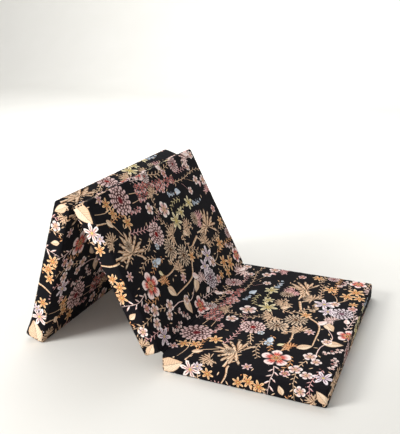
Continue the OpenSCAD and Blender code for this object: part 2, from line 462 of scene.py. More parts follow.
def band_cloth(panel, path, sides, zs):
    """Cloth coordinates of each corner of each face: the drop below the top edge runs outward."""
    low, _ = flat_box(panel)
    face_side = sides[:-1]
    shift = np.where(face_side % 2 == 1, END_SHIFT, 0.0)[:, None]
    step = np.array([[0, -1], [1, 0], [0, 1], [-1, 0]], float)[face_side]
    corners = []
    for di, dj in ((0, 0), (1, 0), (1, 1), (0, 1)):
        here = path[di : len(path) - 1 + di]
        edge = np.array([[0, 0], [LENGTH, 0], [0, WIDTH], [0, 0]])[face_side]
        flat = np.where(step != 0, edge, here)
        drop = (THICK - zs)[dj : len(zs) - 1 + dj]
        xy = flat[:, None, :] + step[:, None, :] * drop[None, :, None]
        xy = xy + np.array([low[0] - fold_12[0], 0.0])
        xy[..., 0] += shift
        corners.append(xy)
    return np.stack(corners, 2).reshape(-1, 4, 2)


# %% [markdown]
# ## A printed garden
# The print is a dark ground with plants that grow across the mattress: coral blossoms with
# pale rims, dusty pink blooms, orange lilies, tan tufts, cream leaves and tall pink spikes.
# Each plant is only a place, a size, a turn and a dye. The flowers themselves are drawn by
# shader nodes, so they stay sharp at any distance. To tell the nodes where to draw, every face
# of a cover stores its own place inside the nearest plant of each kind.

# %% Planting lists: (x, y, radius in millimetres, turn in degrees, dye)
CORAL, ROSE, TAN, ORANGE, LILAC, LIME, BLUSH, BLUE = range(8)
plants = {
    "blossom": [
        (412, 137, 62, 10, CORAL), (578, 925, 44, 40, CORAL), (626, 410, 50, 0, CORAL),
        (186, 478, 42, 25, BLUSH), (150, 372, 30, 70, BLUSH), (526, 196, 30, 15, BLUSH),
        (556, 166, 24, 60, BLUSH), (498, 88, 30, 5, BLUSH), (544, 64, 27, 33, BLUSH),
        (470, 48, 22, 50, ROSE), (520, 672, 26, 12, BLUSH), (600, 655, 24, 0, ROSE),
        (150, 866, 27, 20, BLUSH), (180, 772, 22, 44, BLUSH), (76, 846, 20, 0, BLUSH),
        (168, 938, 30, 8, BLUSH), (560, 330, 24, 31, BLUSH), (540, -30, 24, 18, BLUSH),
        (352, 232, 20, 60, BLUE), (50, 610, 22, 20, ROSE), (110, 540, 18, 5, ROSE),
        (316, 905, 22, 8, ROSE), (30, 930, 24, 30, BLUSH), (300, 300, 16, 0, BLUE)],
    "bloom": [
        (60, 205, 72, 0, ROSE), (256, 335, 58, 20, CORAL), (344, 384, 52, 35, TAN),
        (402, 462, 56, 5, TAN), (30, 725, 44, 10, ROSE), (566, 592, 54, 50, LILAC),
        (232, 118, 30, 0, TAN), (300, 690, 36, 15, TAN), (20, 450, 34, 0, BLUSH),
        (460, 940, 30, 0, ROSE)],
    "lily": [
        (150, -20, 26, 5, LILAC), (222, 704, 38, 12, LIME), (258, 532, 48, 30, LIME),
        (240, 602, 30, 0, LIME), (478, 652, 54, 15, LILAC), (508, 588, 44, 45, LILAC),
        (472, 812, 38, 0, ORANGE), (585, 828, 42, 20, ORANGE), (556, 770, 38, 50, ORANGE),
        (610, 770, 32, 10, ORANGE), (596, 700, 24, 0, ORANGE), (152, 182, 34, 22, ORANGE),
        (48, 106, 32, 5, ORANGE), (90, 118, 28, 40, ORANGE), (18, 78, 24, 12, ROSE),
        (604, 72, 46, 30, LILAC), (190, -42, 27, 12, ORANGE), (310, -50, 26, 0, ORANGE),
        (348, -36, 30, 35, ORANGE), (388, -48, 30, 15, ORANGE), (120, -40, 46, 20, BLUSH),
        (430, 520, 30, 20, ORANGE), (390, 920, 30, 25, ORANGE), (480, 380, 26, 0, ROSE),
        (330, 40, 24, 30, ROSE)],
    "tuft": [
        (368, 778, 104, 88, TAN), (262, 128, 104, 84, TAN), (30, 880, 74, 110, BLUSH),
        (318, 735, 60, 130, ROSE), (424, 690, 58, 50, TAN), (446, 380, 56, 30, TAN),
        (298, 455, 60, 140, TAN), (182, 40, 48, 120, TAN), (306, 600, 50, 150, TAN),
        (545, 520, 44, 70, BLUSH), (100, 450, 46, 100, TAN), (440, 240, 40, 60, ORANGE),
        (590, 985, 40, 90, TAN), (225, 945, 44, 80, ROSE)],
    "leaf": [
        (40, -38, 120, 22, TAN), (616, -36, 66, 130, TAN), (585, 322, 90, 12, TAN),
        (490, 258, 74, 35, TAN), (544, 452, 80, -52, TAN), (10, 590, 60, 30, BLUSH),
        (470, -42, 44, 112, TAN), (352, 262, 52, 95, BLUE), (150, 655, 56, 66, BLUE),
        (14, 892, 60, 75, BLUSH), (120, 72, 50, 28, TAN), (600, 530, 50, 100, BLUSH),
        (510, 478, 60, 60, BLUSH), (176, 890, 40, -30, ROSE), (330, 560, 50, 40, TAN),
        (400, 240, 36, 40, LIME)],
}
print({kind: len(rows) for kind, rows in plants.items()})

# %% [markdown]
# Stems and spikes follow curved lines. Each is a handful of points that a smooth curve passes
# through, with a half width and, for a leafy stem, the length and spacing of its leaflets.

# %% Stems and spikes in millimetres: (points, half width, leaflet length, leaflet spacing, dye)
stems = [
    ([(372, 640), (400, 560), (452, 500), (505, 440), (515, 280)], 6.4, 0, 20, TAN),
    ([(405, 410), (425, 300), (412, 180)], 5, 0, 20, TAN),
    ([(548, 165), (545, 270), (575, 360), (540, 440), (500, 560)], 2.6, 0, 20, BLUSH),
    ([(100, 0), (122, 75), (190, 118)], 3.6, 0, 20, TAN),
    ([(122, 60), (112, 160), (155, 190)], 1.8, 13, 23, ORANGE),
    ([(195, 165), (214, 300), (190, 440)], 1.6, 15, 26, ROSE),
    ([(262, 280), (284, 210), (268, 130)], 2.2, 14, 25, TAN),
    ([(420, 80), (432, 20), (420, -76)], 2, 21, 38, BLUSH),
    ([(265, 20), (262, -30), (240, -80)], 5.2, 0, 20, TAN),
    ([(105, 640), (112, 760), (100, 880), (118, 980)], 1.8, 11, 35, TAN),
    ([(112, 760), (145, 830), (150, 860)], 1.4, 0, 20, TAN),
    ([(104, 700), (160, 750), (182, 770)], 1.4, 0, 20, ROSE),
    ([(232, 560), (222, 650), (226, 740)], 1.8, 11, 29, LIME),
    ([(258, 500), (290, 420), (310, 370)], 2, 16, 26, TAN),
    ([(520, 640), (520, 720), (472, 800)], 3, 0, 20, TAN),
    ([(528, 690), (560, 730), (590, 800)], 2.4, 0, 20, TAN),
    ([(500, 760), (490, 900), (500, 990)], 1.6, 14, 26, ORANGE),
    ([(560, 840), (545, 900), (552, 985)], 1.4, 11, 23, TAN),
    ([(60, 150), (75, 80), (62, 10)], 2.2, 0, 20, TAN),
    ([(55, 280), (62, 320), (70, 360)], 2.2, 0, 20, TAN),
    ([(95, 275), (96, 320), (92, 360)], 2, 0, 20, TAN),
    ([(520, 160), (505, 100), (520, -70)], 1.8, 15, 29, TAN),
    ([(330, -10), (350, -40), (400, -78)], 1.4, 14, 20, ORANGE),
    ([(590, 120), (570, 30), (580, -76)], 1.8, 14, 26, ROSE),
    ([(355, 290), (362, 220), (378, 180)], 1.6, 14, 23, ORANGE),
    ([(148, -76), (160, -20), (205, 30)], 1.8, 14, 26, TAN),
    ([(610, 460), (622, 560), (606, 640)], 1.8, 14, 29, BLUSH),
    ([(20, 480), (36, 560), (20, 690)], 1.8, 16, 32, TAN),
    ([(412, 870), (420, 930), (410, 990)], 1.4, 14, 26, TAN),
    ([(250, 440), (215, 410), (150, 420), (110, 440)], 1.6, 15, 25, TAN),
    ([(320, 540), (350, 520), (400, 545), (430, 600)], 2, 18, 29, TAN),
    ([(335, 250), (320, 180), (345, 110)], 1.6, 15, 26, TAN),
    ([(455, 170), (470, 110), (450, 60)], 1.4, 14, 25, ORANGE),
    ([(185, 640), (180, 580), (200, 530)], 1.4, 14, 26, LIME),
    ([(620, 880), (628, 940), (615, 1010)], 1.6, 14, 26, TAN),
    ([(10, 330), (16, 390), (8, 440)], 1.6, 14, 26, BLUSH),
    ([(452, 700), (440, 760), (430, 860)], 1.8, 16, 29, TAN),
    ([(66, 700), (72, 780), (60, 860)], 1.4, 13, 25, ROSE)]
spikes = [
    ([(62, 330), (74, 440), (88, 560), (92, 670)], 36, 0, 0, CORAL),
    ([(98, 330), (102, 370), (104, 400)], 14, 0, 0, ROSE),
    ([(236, 740), (242, 790), (238, 830)], 12, 0, 0, BLUE),
    ([(140, 560), (146, 600), (160, 650)], 10, 0, 0, BLUE),
    ([(615, 140), (622, 180), (612, 230)], 14, 0, 0, BLUSH),
    ([(312, 560), (318, 600), (306, 640)], 14, 0, 0, TAN),
    ([(444, 560), (452, 600), (440, 640)], 14, 0, 0, TAN),
    ([(120, 230), (130, 280), (124, 330)], 13, 0, 0, ROSE),
    ([(566, 240), (600, 262), (632, 300)], 14, 0, 0, BLUSH),
    ([(390, 330), (380, 360), (372, 420)], 13, 0, 0, TAN),
    ([(500, 860), (520, 900), (524, 950)], 13, 0, 0, BLUSH)]


def drawn_line(knots, step=0.004):
    """A smooth curve in metres through the knots: a Catmull-Rom spline, read every few millimetres."""
    knots = np.array(knots, float) / 1000
    ends = np.vstack([2 * knots[0] - knots[1], knots, 2 * knots[-1] - knots[-2]])
    parts = []
    for a, b, c, d in zip(ends, ends[1:], ends[2:], ends[3:]):
        t = np.linspace(0, 1, max(3, round(math.dist(b, c) / step)), endpoint=False)[:, None]
        parts.append(0.5 * (2 * b + (c - a) * t + (2 * a - 5 * b + 4 * c - d) * t**2
                            + (3 * b - a - 3 * c + d) * t**3))
    return np.vstack([*parts, knots[-1:]])


# %% [markdown]
# For each kind of plant, every face finds the nearest one, with the fabric's repeat taken into
# account, and stores for each of its corners the place in that plant's own frame. A plant's
# frame is turned and scaled so that its outline is one unit across its radius. Along a stem the
# frame is instead the length run and the distance to the side.

# %% Storing the plants on a cover
REPEAT_X, REPEAT_Y = PITCH, WIDTH + THICK
PLANT_SIZE = 0.93
CHUNK = 20000
NO_DYE, DYE_COUNT = 0.0, 8
STEM_REACH, SPIKE_REACH = 0.022, 0.045


def wrapped(distance, repeat):
    """The shortest way round the fabric's repeat."""
    return (distance + repeat / 2) % repeat - repeat / 2


def write_vectors(mesh, name, values):
    """Stores a vector for every corner of every face under a name that materials can read."""
    layer = mesh.attributes.new(name, "FLOAT_VECTOR", "CORNER")
    layer.data.foreach_set("vector", np.ascontiguousarray(values, np.float32).ravel())


def store_plants(mesh, cloth):
    """cloth holds the cloth coordinates of each face's four corners, as an array (faces, 4, 2)."""
    middle = cloth.mean(1)
    for kind, rows in plants.items():
        table = np.array(rows, float)
        table[:, :3] /= 1000
        table[:, 2] *= PLANT_SIZE
        stored = np.zeros((*cloth.shape[:2], 3))
        for at in range(0, len(middle), CHUNK):
            part = middle[at : at + CHUNK]
            dx = wrapped(part[:, None, 0] - table[None, :, 0], REPEAT_X)
            dy = wrapped(part[:, None, 1] - table[None, :, 1], REPEAT_Y)
            far = np.hypot(dx, dy) / table[None, :, 2]
            best = far.argmin(1)
            row = np.arange(len(part))
            near = far[row, best] < 1.3
            spot = table[best]
            u = cloth[at : at + CHUNK, :, 0] + (dx[row, best] - part[:, 0])[:, None]
            v = cloth[at : at + CHUNK, :, 1] + (dy[row, best] - part[:, 1])[:, None]
            angle, size = np.radians(spot[:, 3])[:, None], spot[:, None, 2]
            local_u = (u * np.cos(angle) + v * np.sin(angle)) / size
            local_v = (v * np.cos(angle) - u * np.sin(angle)) / size
            pick = np.where(near, (spot[:, 4] + 0.5) / DYE_COUNT, NO_DYE)[:, None]
            stored[at : at + CHUNK] = np.stack([local_u, local_v, np.broadcast_to(pick, u.shape)], -1)
        write_vectors(mesh, kind, stored)


def store_lines(mesh, cloth, name, lines, reach):
    """Stores run, sideways distance and dye of the nearest line within reach, and its sizes."""
    middle = cloth.mean(1)
    best = np.full(len(middle), 1e9)
    stored = np.zeros((*cloth.shape[:2], 3))
    looks = np.zeros((*cloth.shape[:2], 3))
    for knots, half, leaflet, spacing, kind in lines:
        half, leaflet, spacing = half / 1000, leaflet / 1000, spacing / 1000
        line = drawn_line(knots)
        run = np.concatenate([[0], np.cumsum(np.hypot(*np.diff(line, axis=0).T))])
        way = np.gradient(line, axis=0)
        way /= np.linalg.norm(way, axis=1, keepdims=True)
        box_mid, box_half = (line.max(0) + line.min(0)) / 2, np.ptp(line, axis=0) / 2 + reach
        dx = wrapped(middle[:, 0] - box_mid[0], REPEAT_X)
        dy = wrapped(middle[:, 1] - box_mid[1], REPEAT_Y)
        close = np.flatnonzero((np.abs(dx) < box_half[0]) & (np.abs(dy) < box_half[1]))
        if not len(close):
            continue
        x, y = box_mid[0] + dx[close], box_mid[1] + dy[close]
        gaps = np.hypot(x[:, None] - line[None, :, 0], y[:, None] - line[None, :, 1])
        spot = gaps.argmin(1)
        gap = gaps[np.arange(len(close)), spot]
        nearness = gap / (half + leaflet)
        win = (nearness < best[close]) & (gap < reach)
        chosen, spot = close[win], spot[win]
        best[chosen] = nearness[win]
        u = cloth[chosen, :, 0] + (x[win] - middle[chosen, 0] - line[spot, 0])[:, None]
        v = cloth[chosen, :, 1] + (y[win] - middle[chosen, 1] - line[spot, 1])[:, None]
        tx, ty = way[spot, 0][:, None], way[spot, 1][:, None]
        length = run[spot][:, None] + u * tx + v * ty
        side = v * tx - u * ty
        stored[chosen] = np.stack([length, side, np.full_like(side, (kind + 0.5) / DYE_COUNT)], -1)
        inside = (length >= 0) & (length <= run[-1])
        taper = half * (1 - 0.55 * np.clip(length / run[-1], 0, 1)) * inside
        looks[chosen] = np.stack([taper, np.full_like(side, leaflet), np.full_like(side, spacing)], -1)
    write_vectors(mesh, name, stored)
    write_vectors(mesh, name + "_size", looks)


def write_uv(mesh, cloth):
    """Stores cloth coordinates as a UV map in metres."""
    layer = mesh.uv_layers.new(name="cloth")
    layer.uv.foreach_set("vector", np.ascontiguousarray(cloth, np.float32).ravel())


def print_cloth(piece, cloth):
    """Gives a cover its cloth coordinates and its share of every plant."""
    write_uv(piece.data, cloth)
    store_plants(piece.data, cloth)
    store_lines(piece.data, cloth, "stem", stems, STEM_REACH)
    store_lines(piece.data, cloth, "spike", spikes, SPIKE_REACH)


# %% [markdown]
# ## Making the covers
# Every cover piece is built flat, printed, folded up into place and given its thickness by a
# Solidify modifier that works inward, so the outside keeps its size.

# %% Building the cover pieces
CLOTH_THICK = 0.0007
covers = []


def thicken(piece, thickness, offset=-1.0):
    """Gives a sheet its thickness, inward unless another offset is asked for."""
    thick = piece.modifiers.new("Thickness", "SOLIDIFY")
    thick.thickness, thick.offset = thickness, offset


def finish_cover(name, panel, points, faces, cloth):
    """Turns a grid into a finished sheet of fabric that stands for the CAD node of the same name."""
    piece = mesh_piece("fabric_" + name, stand(points, panel).reshape(-1, 3), faces)
    print_cloth(piece, cloth)
    thicken(piece, CLOTH_THICK)
    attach(piece, f"panel_{panel}")
    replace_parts(piece, name)
    covers.append(piece)


def broad_cover(panel, level):
    """The top or bottom cover of one panel."""
    points, x, y = broad_points(panel, level)
    points = tuck_rim(points, level)
    cloth = np.pad(broad_cloth(panel, x, y, level), ((1, 1), (1, 1), (0, 0)), mode="edge")
    rows, columns = points.shape[:2]
    faces = grid_faces(rows, columns, flip=not level)
    name = ("top_cover_" if level else "bottom_cover_") + str(panel)
    finish_cover(name, panel, points, faces, cloth.reshape(-1, 2)[faces])


def strip(panel, name, route, low_z, high_z, hemmed):
    """A band piece along a route; its grid has one more row tucked in at each seam or hem."""
    path, outs, sides = route
    points, zs = band_points(panel, path, outs, sides, low_z, high_z, hemmed)
    inward = np.concatenate([outs, np.zeros((len(outs), 1))], 1)[:, None, :] * -0.002
    first = points[:, :1] + inward + np.array([0, 0, -0.0004 if 0 not in hemmed else 0.0004])
    last = points[:, -1:] + inward + np.array([0, 0, 0.0004 if 1 not in hemmed else -0.0004])
    points = np.concatenate([first, points, last], 1)
    zs = np.concatenate([[zs[0]], zs, [zs[-1]]])
    cloth = band_cloth(panel, path, sides, zs)
    finish_cover(name, panel, points, grid_faces(*points.shape[:2]), cloth)


SLOT_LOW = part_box("zip_band_lower_1")[1][2]
SLOT_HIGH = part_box("zip_band_upper_1")[0][2]
BACK_STEPS = 116
back_x = np.linspace(LENGTH - CORNER, CORNER, BACK_STEPS)
back = (np.stack([back_x, np.full(BACK_STEPS, WIDTH)], -1), np.tile([0.0, 1.0], (BACK_STEPS, 1)),
        np.full(BACK_STEPS, 2))
for panel in (1, 2, 3):
    for level in (0, 1):
        broad_cover(panel, level)
    low_seam, high_seam = seam_height(panel, 0), seam_height(panel, 1)
    strip(panel, f"side_band_{panel}", outline(), low_seam, high_seam, ())
    strip(panel, f"zip_band_lower_{panel}", back, low_seam, SLOT_LOW, (1,))
    strip(panel, f"zip_band_upper_{panel}", back, SLOT_HIGH, high_seam, (0,))
print(len(covers), "cover pieces,", sum(len(piece.data.polygons) for piece in covers), "quads")

# %% [markdown]
# ## The foam blocks
# Inside each cover is one cut block of foam. It fills the cover: its edges are rounded where
# the fabric presses them, and its broad faces follow the crown a few millimetres below it.

# %% Foam blocks
FOAM_IN, FOAM_ROUND = 0.0036, 0.013
FOAM_MARKS = np.array([0.0, 0.003, 0.006, 0.010, 0.015])


def foam_block(panel):
    """A rounded box: each point is put one radius away from the nearest point of a smaller box."""
    low, high = flat_box(panel)
    size = high - low - 2 * FOAM_IN
    rulers = [ruler(side, step=0.012, marks=FOAM_MARKS) for side in size]
    places, quads, _ = box_shell(*(len(marks) for marks in rulers))
    points = np.stack([marks[places[:, axis]] for axis, marks in enumerate(rulers)], -1)
    inner = np.clip(points, FOAM_ROUND, size - FOAM_ROUND)
    away = points - inner
    points = inner + away / np.maximum(np.linalg.norm(away, axis=1, keepdims=True), 1e-9) * FOAM_ROUND
    inward = np.minimum(points, size - points)[:, :2].min(1)
    fall = CROWN * (1 - smooth(inward / CROWN_REACH)) + 0.5 * CROWN
    middle = size[2] / 2
    points[:, 2] = middle + (points[:, 2] - middle) * (1 - fall / middle)
    block = mesh_piece(f"foam_block_{panel}", stand(points + low + FOAM_IN, panel), quads)
    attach(block, f"panel_{panel}")
    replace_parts(block, f"foam_core_{panel}")
    return block


foams = [foam_block(panel) for panel in (1, 2, 3)]
print("foam blocks:", [len(block.data.polygons) for block in foams], "quads")

# %% [markdown]
# ## The two folds
# Neighbouring covers are sewn edge to edge with a doubled strip of the same fabric, one strip
# on the top side and one on the underside. Each strip is built to the panels as they stand:
# points near one panel are turned as far as that panel, points near the other as far as that
# one, and the few between share the turn.

# %% Fold strips
SHARED = 0.4  # the middle part of a strip, from -0.4 to 0.4 across, takes part in both turns


def fold_strip(name, pivot, upward, first, angle):
    """A shallow arch over the gap, turned about the fold by a share that grows from 0 to 1 across it."""
    low, _ = flat_box(1)
    t = np.linspace(1, -1, 25)
    y = ruler(WIDTH - 2 * CORNER)
    across, down = np.meshgrid(t, y, indexing="ij")
    half = GAP + SEAM_IN + 0.0004
    fall = (ROLL + CROWN) * np.abs(across) ** 2.0
    ripple = 0.0003 * np.sin(down * 2 * math.pi / 0.023 + 2.0 * np.sin(down * 31)) * (1 - across**2)
    height = (ripple - fall) * (1 if upward else -1)
    flat = np.stack([pivot[0] + across * half, low[1] + CORNER + down, pivot[2] + height], -1)
    share = smooth((SHARED - across) / (2 * SHARED))
    points = np.stack([turn(row, pivot, angle * part) for row, part in zip(flat, share[:, 0])])
    if first == 2:
        points = turn(points, fold_12, lean)
    faces = grid_faces(*across.shape, flip=upward)
    piece = mesh_piece(name, points.reshape(-1, 3), faces)
    print_cloth(piece, np.stack([flat[..., 0] - fold_12[0], CORNER + down], -1).reshape(-1, 2)[faces])
    thicken(piece, CLOTH_THICK)
    start = points[abs(t - SHARED).argmin(), 0]
    end = points[abs(t + SHARED).argmin(), 0]
    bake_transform(piece)
    covers.append(piece)
    return piece


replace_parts(fold_strip("fold_strip_12", fold_12, True, 1, lean), "fold_seam_12")
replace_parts(fold_strip("fold_strip_23", fold_23_flat, False, 2, -bend), "fold_seam_23")

# %% [markdown]
# ## The zips
# Each cover opens along its hidden back side, so that it comes off for washing. A zip is a
# pair of woven tapes, a nylon coil sewn to each, a slider, its pull, and metal stops. They are
# worked out once, in places along, out from and up from the middle of the zip, and then
# carried to each panel. The second and third panels are mirror images of the first.

# %% Carrying zip parts to a panel
ZIP_FROM = np.array([plate_low[0], plate_high[1], THICK / 2])


def zip_spot(node):
    """The low and high corner of a zip part of the first panel, from the middle of the zip's start."""
    low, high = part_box(node)
    return np.array(low) - ZIP_FROM, np.array(high) - ZIP_FROM


def on_panel(points, panel):
    """Carries zip places to a panel: mirrored in the fold for 2 and 3, and one pitch on for 3."""
    points = points + ZIP_FROM
    if panel > 1:
        points = points * np.array([-1, 1, 1]) + np.array([2 * fold_12[0] - (panel - 2) * PITCH, 0, 0])
    return fold_up(points, panel)


def zip_piece(name, parts, panel, body, node):
    """Joins closed shapes into one piece on a body, with every face turned outwards."""
    points, faces, count = [], [], 0
    for part_points, part_faces in parts:
        points.append(part_points.reshape(-1, 3))
        faces.extend([[int(i) + count for i in face] for face in part_faces])
        count += len(points[-1])
    mesh = bpy.data.meshes.new(name)
    mesh.from_pydata(on_panel(np.concatenate(points), panel).tolist(), [], faces)
    work = bmesh.new()
    work.from_mesh(mesh)
    bmesh.ops.recalc_face_normals(work, faces=work.faces)
    work.to_mesh(mesh)
    work.free()
    mesh.polygons.foreach_set("use_smooth", [len(face) == 4 for face in faces])
    piece = bpy.data.objects.new(name, mesh)
    scene.collection.objects.link(piece)
    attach(piece, body)
    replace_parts(piece, *node)
    return piece


# %% [markdown]
# Small parts are stacks of rings: a profile that is repeated along a short path and closed at
# both ends. A plate is four rings, the outer two a little smaller, which gives it a rounded
# rim. A wire is a ring of points carried along a line.

# %% Plates and wires
def stack(rings, closed=False):
    """Quads between neighbouring rings, and a cap at each end unless the stack closes on itself."""
    count, around = rings.shape[:2]
    number = np.arange(count * around).reshape(count, around)
    ahead = np.roll(number, -1, 0) if closed else number[1:]
    here = number if closed else number[:-1]
    quads = np.stack([here, np.roll(here, -1, 1), np.roll(ahead, -1, 1), ahead], -1).reshape(-1, 4)
    faces = quads.tolist()
    if not closed:
        faces += [number[0][::-1].tolist(), number[-1].tolist()]
    return rings, faces


def plate(middle, half, power=4.0, taper=0.0, rim=0.0003, around=28):
    """A superellipse outline, |x/a|^p + |z/b|^p = 1, in four rings along the outward direction."""
    t = np.linspace(0, 2 * math.pi, around, endpoint=False)
    c, s = np.cos(t), np.sin(t)
    x, z = np.sign(c) * abs(c) ** (2 / power), np.sign(s) * abs(s) ** (2 / power)
    z = z * (1 + taper * x)
    shrink = np.array([rim, 0, 0, rim])[:, None]
    out = np.array([-half[1], rim - half[1], half[1] - rim, half[1]])[:, None]
    rings = np.stack([
        x * (half[0] - shrink), np.broadcast_to(out, (4, around)), z * (half[2] - shrink)], -1)
    return stack(rings + np.array(middle))


def wire(path, radius, closed=False, around=8, flat=1.0):
    """A round ring carried along a line; each ring stands square to the line and to the z direction."""
    way = np.roll(path, -1, 0) - np.roll(path, 1, 0) if closed else np.gradient(path, axis=0)
    way = way / np.linalg.norm(way, axis=1, keepdims=True)
    aside = np.cross(way, np.array([0.0, 1.0, 0.0]))
    small = np.linalg.norm(aside, axis=1, keepdims=True)
    aside = np.where(small > 0.2, aside / np.maximum(small, 1e-9), np.array([0.0, 0.0, 1.0]))
    up = np.cross(aside, way)
    t = np.linspace(0, 2 * math.pi, around, endpoint=False)
    rings = (path[:, None] + radius * np.cos(t)[None, :, None] * aside[:, None] * flat
             + radius * np.sin(t)[None, :, None] * up[:, None])
    return stack(rings, closed)


# %% Coils: a nylon thread wound round and round
COIL_PITCH, COIL_THREAD = 0.0018, 0.00030


def coil(node, hand):
    """A helix: forward with the turns, in a flat circle that reaches a little past the zip's middle."""
    low, high = zip_spot(node)
    turns = (high[0] - low[0]) / COIL_PITCH - 1
    t = np.linspace(0, 2 * math.pi * turns, round(turns * 10))
    centre = (low + high) / 2 - np.array([0, 0, hand * 0.0006])
    tall, deep = (high[2] - low[2]) / 2 + 0.0003 - COIL_THREAD, (high[1] - low[1]) / 2 - COIL_THREAD
    forward = low[0] + COIL_PITCH * (t / (2 * math.pi) + (0.5 if hand > 0 else 1.0))
    path = np.stack([forward, centre[1] + deep * np.sin(t), centre[2] + tall * np.cos(t)], -1)
    outward = np.stack([np.zeros_like(t), np.sin(t), np.cos(t)], -1)
    s = np.linspace(0, 2 * math.pi, 5, endpoint=False)
    rings = path[:, None] + COIL_THREAD * (
        np.cos(s)[None, :, None] * outward[:, None]
        + np.sin(s)[None, :, None] * np.array([1.0, 0, 0]))
    return stack(rings)


# %% Tapes: a strip with a slight ripple where it is sewn
def tape(panel, node):
    """A woven strip along the zip, rippled a fraction of a millimetre between its stitches."""
    low, high = zip_spot(node)
    x, z = np.meshgrid(
        low[0] + ruler(high[0] - low[0], step=0.004), np.linspace(low[2], high[2], 9), indexing="ij")
    across = (z - low[2]) / (high[2] - low[2])
    ripple = 0.00016 * np.sin(x * 2 * math.pi / 0.019 + panel) * np.sin(math.pi * across)
    points = np.stack([x, (low[1] + high[1]) / 2 + ripple, z], -1)
    faces = grid_faces(*x.shape, flip=panel > 1)
    piece = mesh_piece("woven_" + node[:-1] + str(panel), on_panel(points, panel).reshape(-1, 3), faces)
    write_uv(piece.data, np.stack([x, z], -1).reshape(-1, 2)[faces])
    thicken(piece, float(high[1] - low[1]) * 0.85, 0.0)
    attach(piece, f"panel_{panel}")
    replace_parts(piece, node[:-1] + str(panel))
    return piece


# %% The slider and its pull
slide_low, slide_high = zip_spot("zip_slider_1")
pull_low, pull_high = zip_spot("zip_pull_1")
COIL_OUT = zip_spot("zip_coil_upper_1")[1][1]
LOOP_HALF, TAB_FROM = 0.0045, 0.0082


def slider_parts():
    """Two plates, a neck where the chains part, two side lips and a bridge for the pull."""
    mid = (slide_low + slide_high) / 2
    half = (slide_high - slide_low) / 2
    top = COIL_OUT + 0.0009
    bottom = slide_low[1] + 0.0005
    t = np.linspace(0, math.pi, 22)
    arch = np.stack([
        mid[0] + 0.0040 * np.cos(t), top + (slide_high[1] - 0.0005 - top) * np.sin(t) ** 0.7,
        np.full_like(t, mid[2])], -1)
    lips = [plate((mid[0], (top - 0.0004) / 2 - 0.0004, mid[2] + side * (half[2] - 0.0004)),
                  (half[0] - 0.0006, (top + 0.0016) / 2, 0.0004), 6.0) for side in (-1, 1)]
    neck = plate((mid[0] + half[0] - 0.0025, (top + bottom) / 2, mid[2]),
                 (0.0014, (top - bottom) / 2, 0.00035), 2.2)
    return [
        plate((mid[0], top, mid[2]), (half[0], 0.0006, half[2]), 3.2, 0.10),
        plate((mid[0], bottom, mid[2]), (half[0], 0.0005, half[2] - 0.0004), 3.2, 0.10),
        neck, wire(arch, 0.0005, flat=1.7), *lips]


def pull_parts():
    """A wire loop that turns under the bridge, and a flat tab with a rounded end."""
    pivot = (slide_low[0] + slide_high[0]) / 2
    reach = -1 if pivot - pull_low[0] > pull_high[0] - pivot else 1
    out = (pull_low[1] + pull_high[1]) / 2
    length = max(pivot - pull_low[0], pull_high[0] - pivot)
    wide = (pull_high[2] - pull_low[2]) / 2 - 0.0007
    t = np.linspace(0, 2 * math.pi, 48, endpoint=False)
    c, s = np.cos(t), np.sin(t)
    loop = np.stack([
        pivot + reach * LOOP_HALF * (1 - np.sign(c) * abs(c) ** 0.45), np.full_like(t, out),
        wide * np.sign(s) * abs(s) ** 0.45], -1)
    tab_half = (length - TAB_FROM) / 2
    tab_middle = (pivot + reach * (TAB_FROM + tab_half), out, 0.0)
    tab = plate(tab_middle, (tab_half, 0.0006, wide + 0.0006), 3.4, -0.06 * reach)
    return [wire(loop, 0.0007, closed=True), tab]


# %% Making the zips
zip_tapes, zip_coils, zip_metals = [], [], []
for panel in (1, 2, 3):
    for half, hand in (("upper", 1), ("lower", -1)):
        zip_tapes.append(tape(panel, f"zip_tape_{half}_1"))
        zip_coils.append(zip_piece(
            f"nylon_coil_{half}_{panel}", [coil(f"zip_coil_{half}_1", hand)], panel, f"panel_{panel}",
            [f"zip_coil_{half}_{panel}"]))
    for part, shapes in (("slider", slider_parts()), ("pull", pull_parts())):
        zip_metals.append(zip_piece(
            f"{part}_{panel}", shapes, panel, f"zip_{part}_body_{panel}", [f"zip_{part}_{panel}"]))
    made = np.array([v.co for v in zip_metals[-2].data.vertices])
    wanted = sum(np.array(corner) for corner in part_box(f"zip_slider_{panel}")) / 2
    off = np.linalg.norm((made.min(0) + made.max(0)) / 2 - wanted)
    print("slider", panel, "is off by", round(float(off) * 1000, 2), "mm")
print("coil quads:", len(zip_coils[0].data.polygons))

# %% [markdown]
# ## Arithmetic on a surface
# A printed pattern is arithmetic: how far is this spot from a petal's edge, which ring of
# petals is it in, how pale is the dye there. Writing that as a tangle of Math nodes by hand is
# slow, so a small class lets ordinary Python arithmetic place the nodes.

# %% Numbers that change over a surface
class Num:
    """A value that changes over a surface; its methods add nodes to its node tree."""

    def __init__(self, tree, socket):
        self.tree, self.socket = tree, socket

    def math(self, kind, *others):
        node = self.tree.nodes.new("ShaderNodeMath")
        node.operation = kind
        for slot, value in zip(node.inputs, (self, *others)):
            fill(self.tree, slot, value)
        return Num(self.tree, node.outputs[0])

    def upside(self):
        """One minus the value."""
        return self * -1.0 + 1.0

    def under(self, share, colour):
        """This colour with another one laid over it by a share from 0 to 1."""
        return blend_colours(self.tree, share, self, colour)

    def rise(self, start, end):
        """0 where the value is below start, 1 above end, and an S-curve between."""
        node = self.tree.nodes.new("ShaderNodeMapRange")
        node.interpolation_type = "SMOOTHSTEP"
        fill(self.tree, node.inputs["Value"], self)
        fill(self.tree, node.inputs["From Min"], start)
        fill(self.tree, node.inputs["From Max"], end)
        return Num(self.tree, node.outputs[0])


def operator(kind):
    """A Python operator that adds a Math node of one kind."""
    return lambda value, *others: value.math(kind, *others)


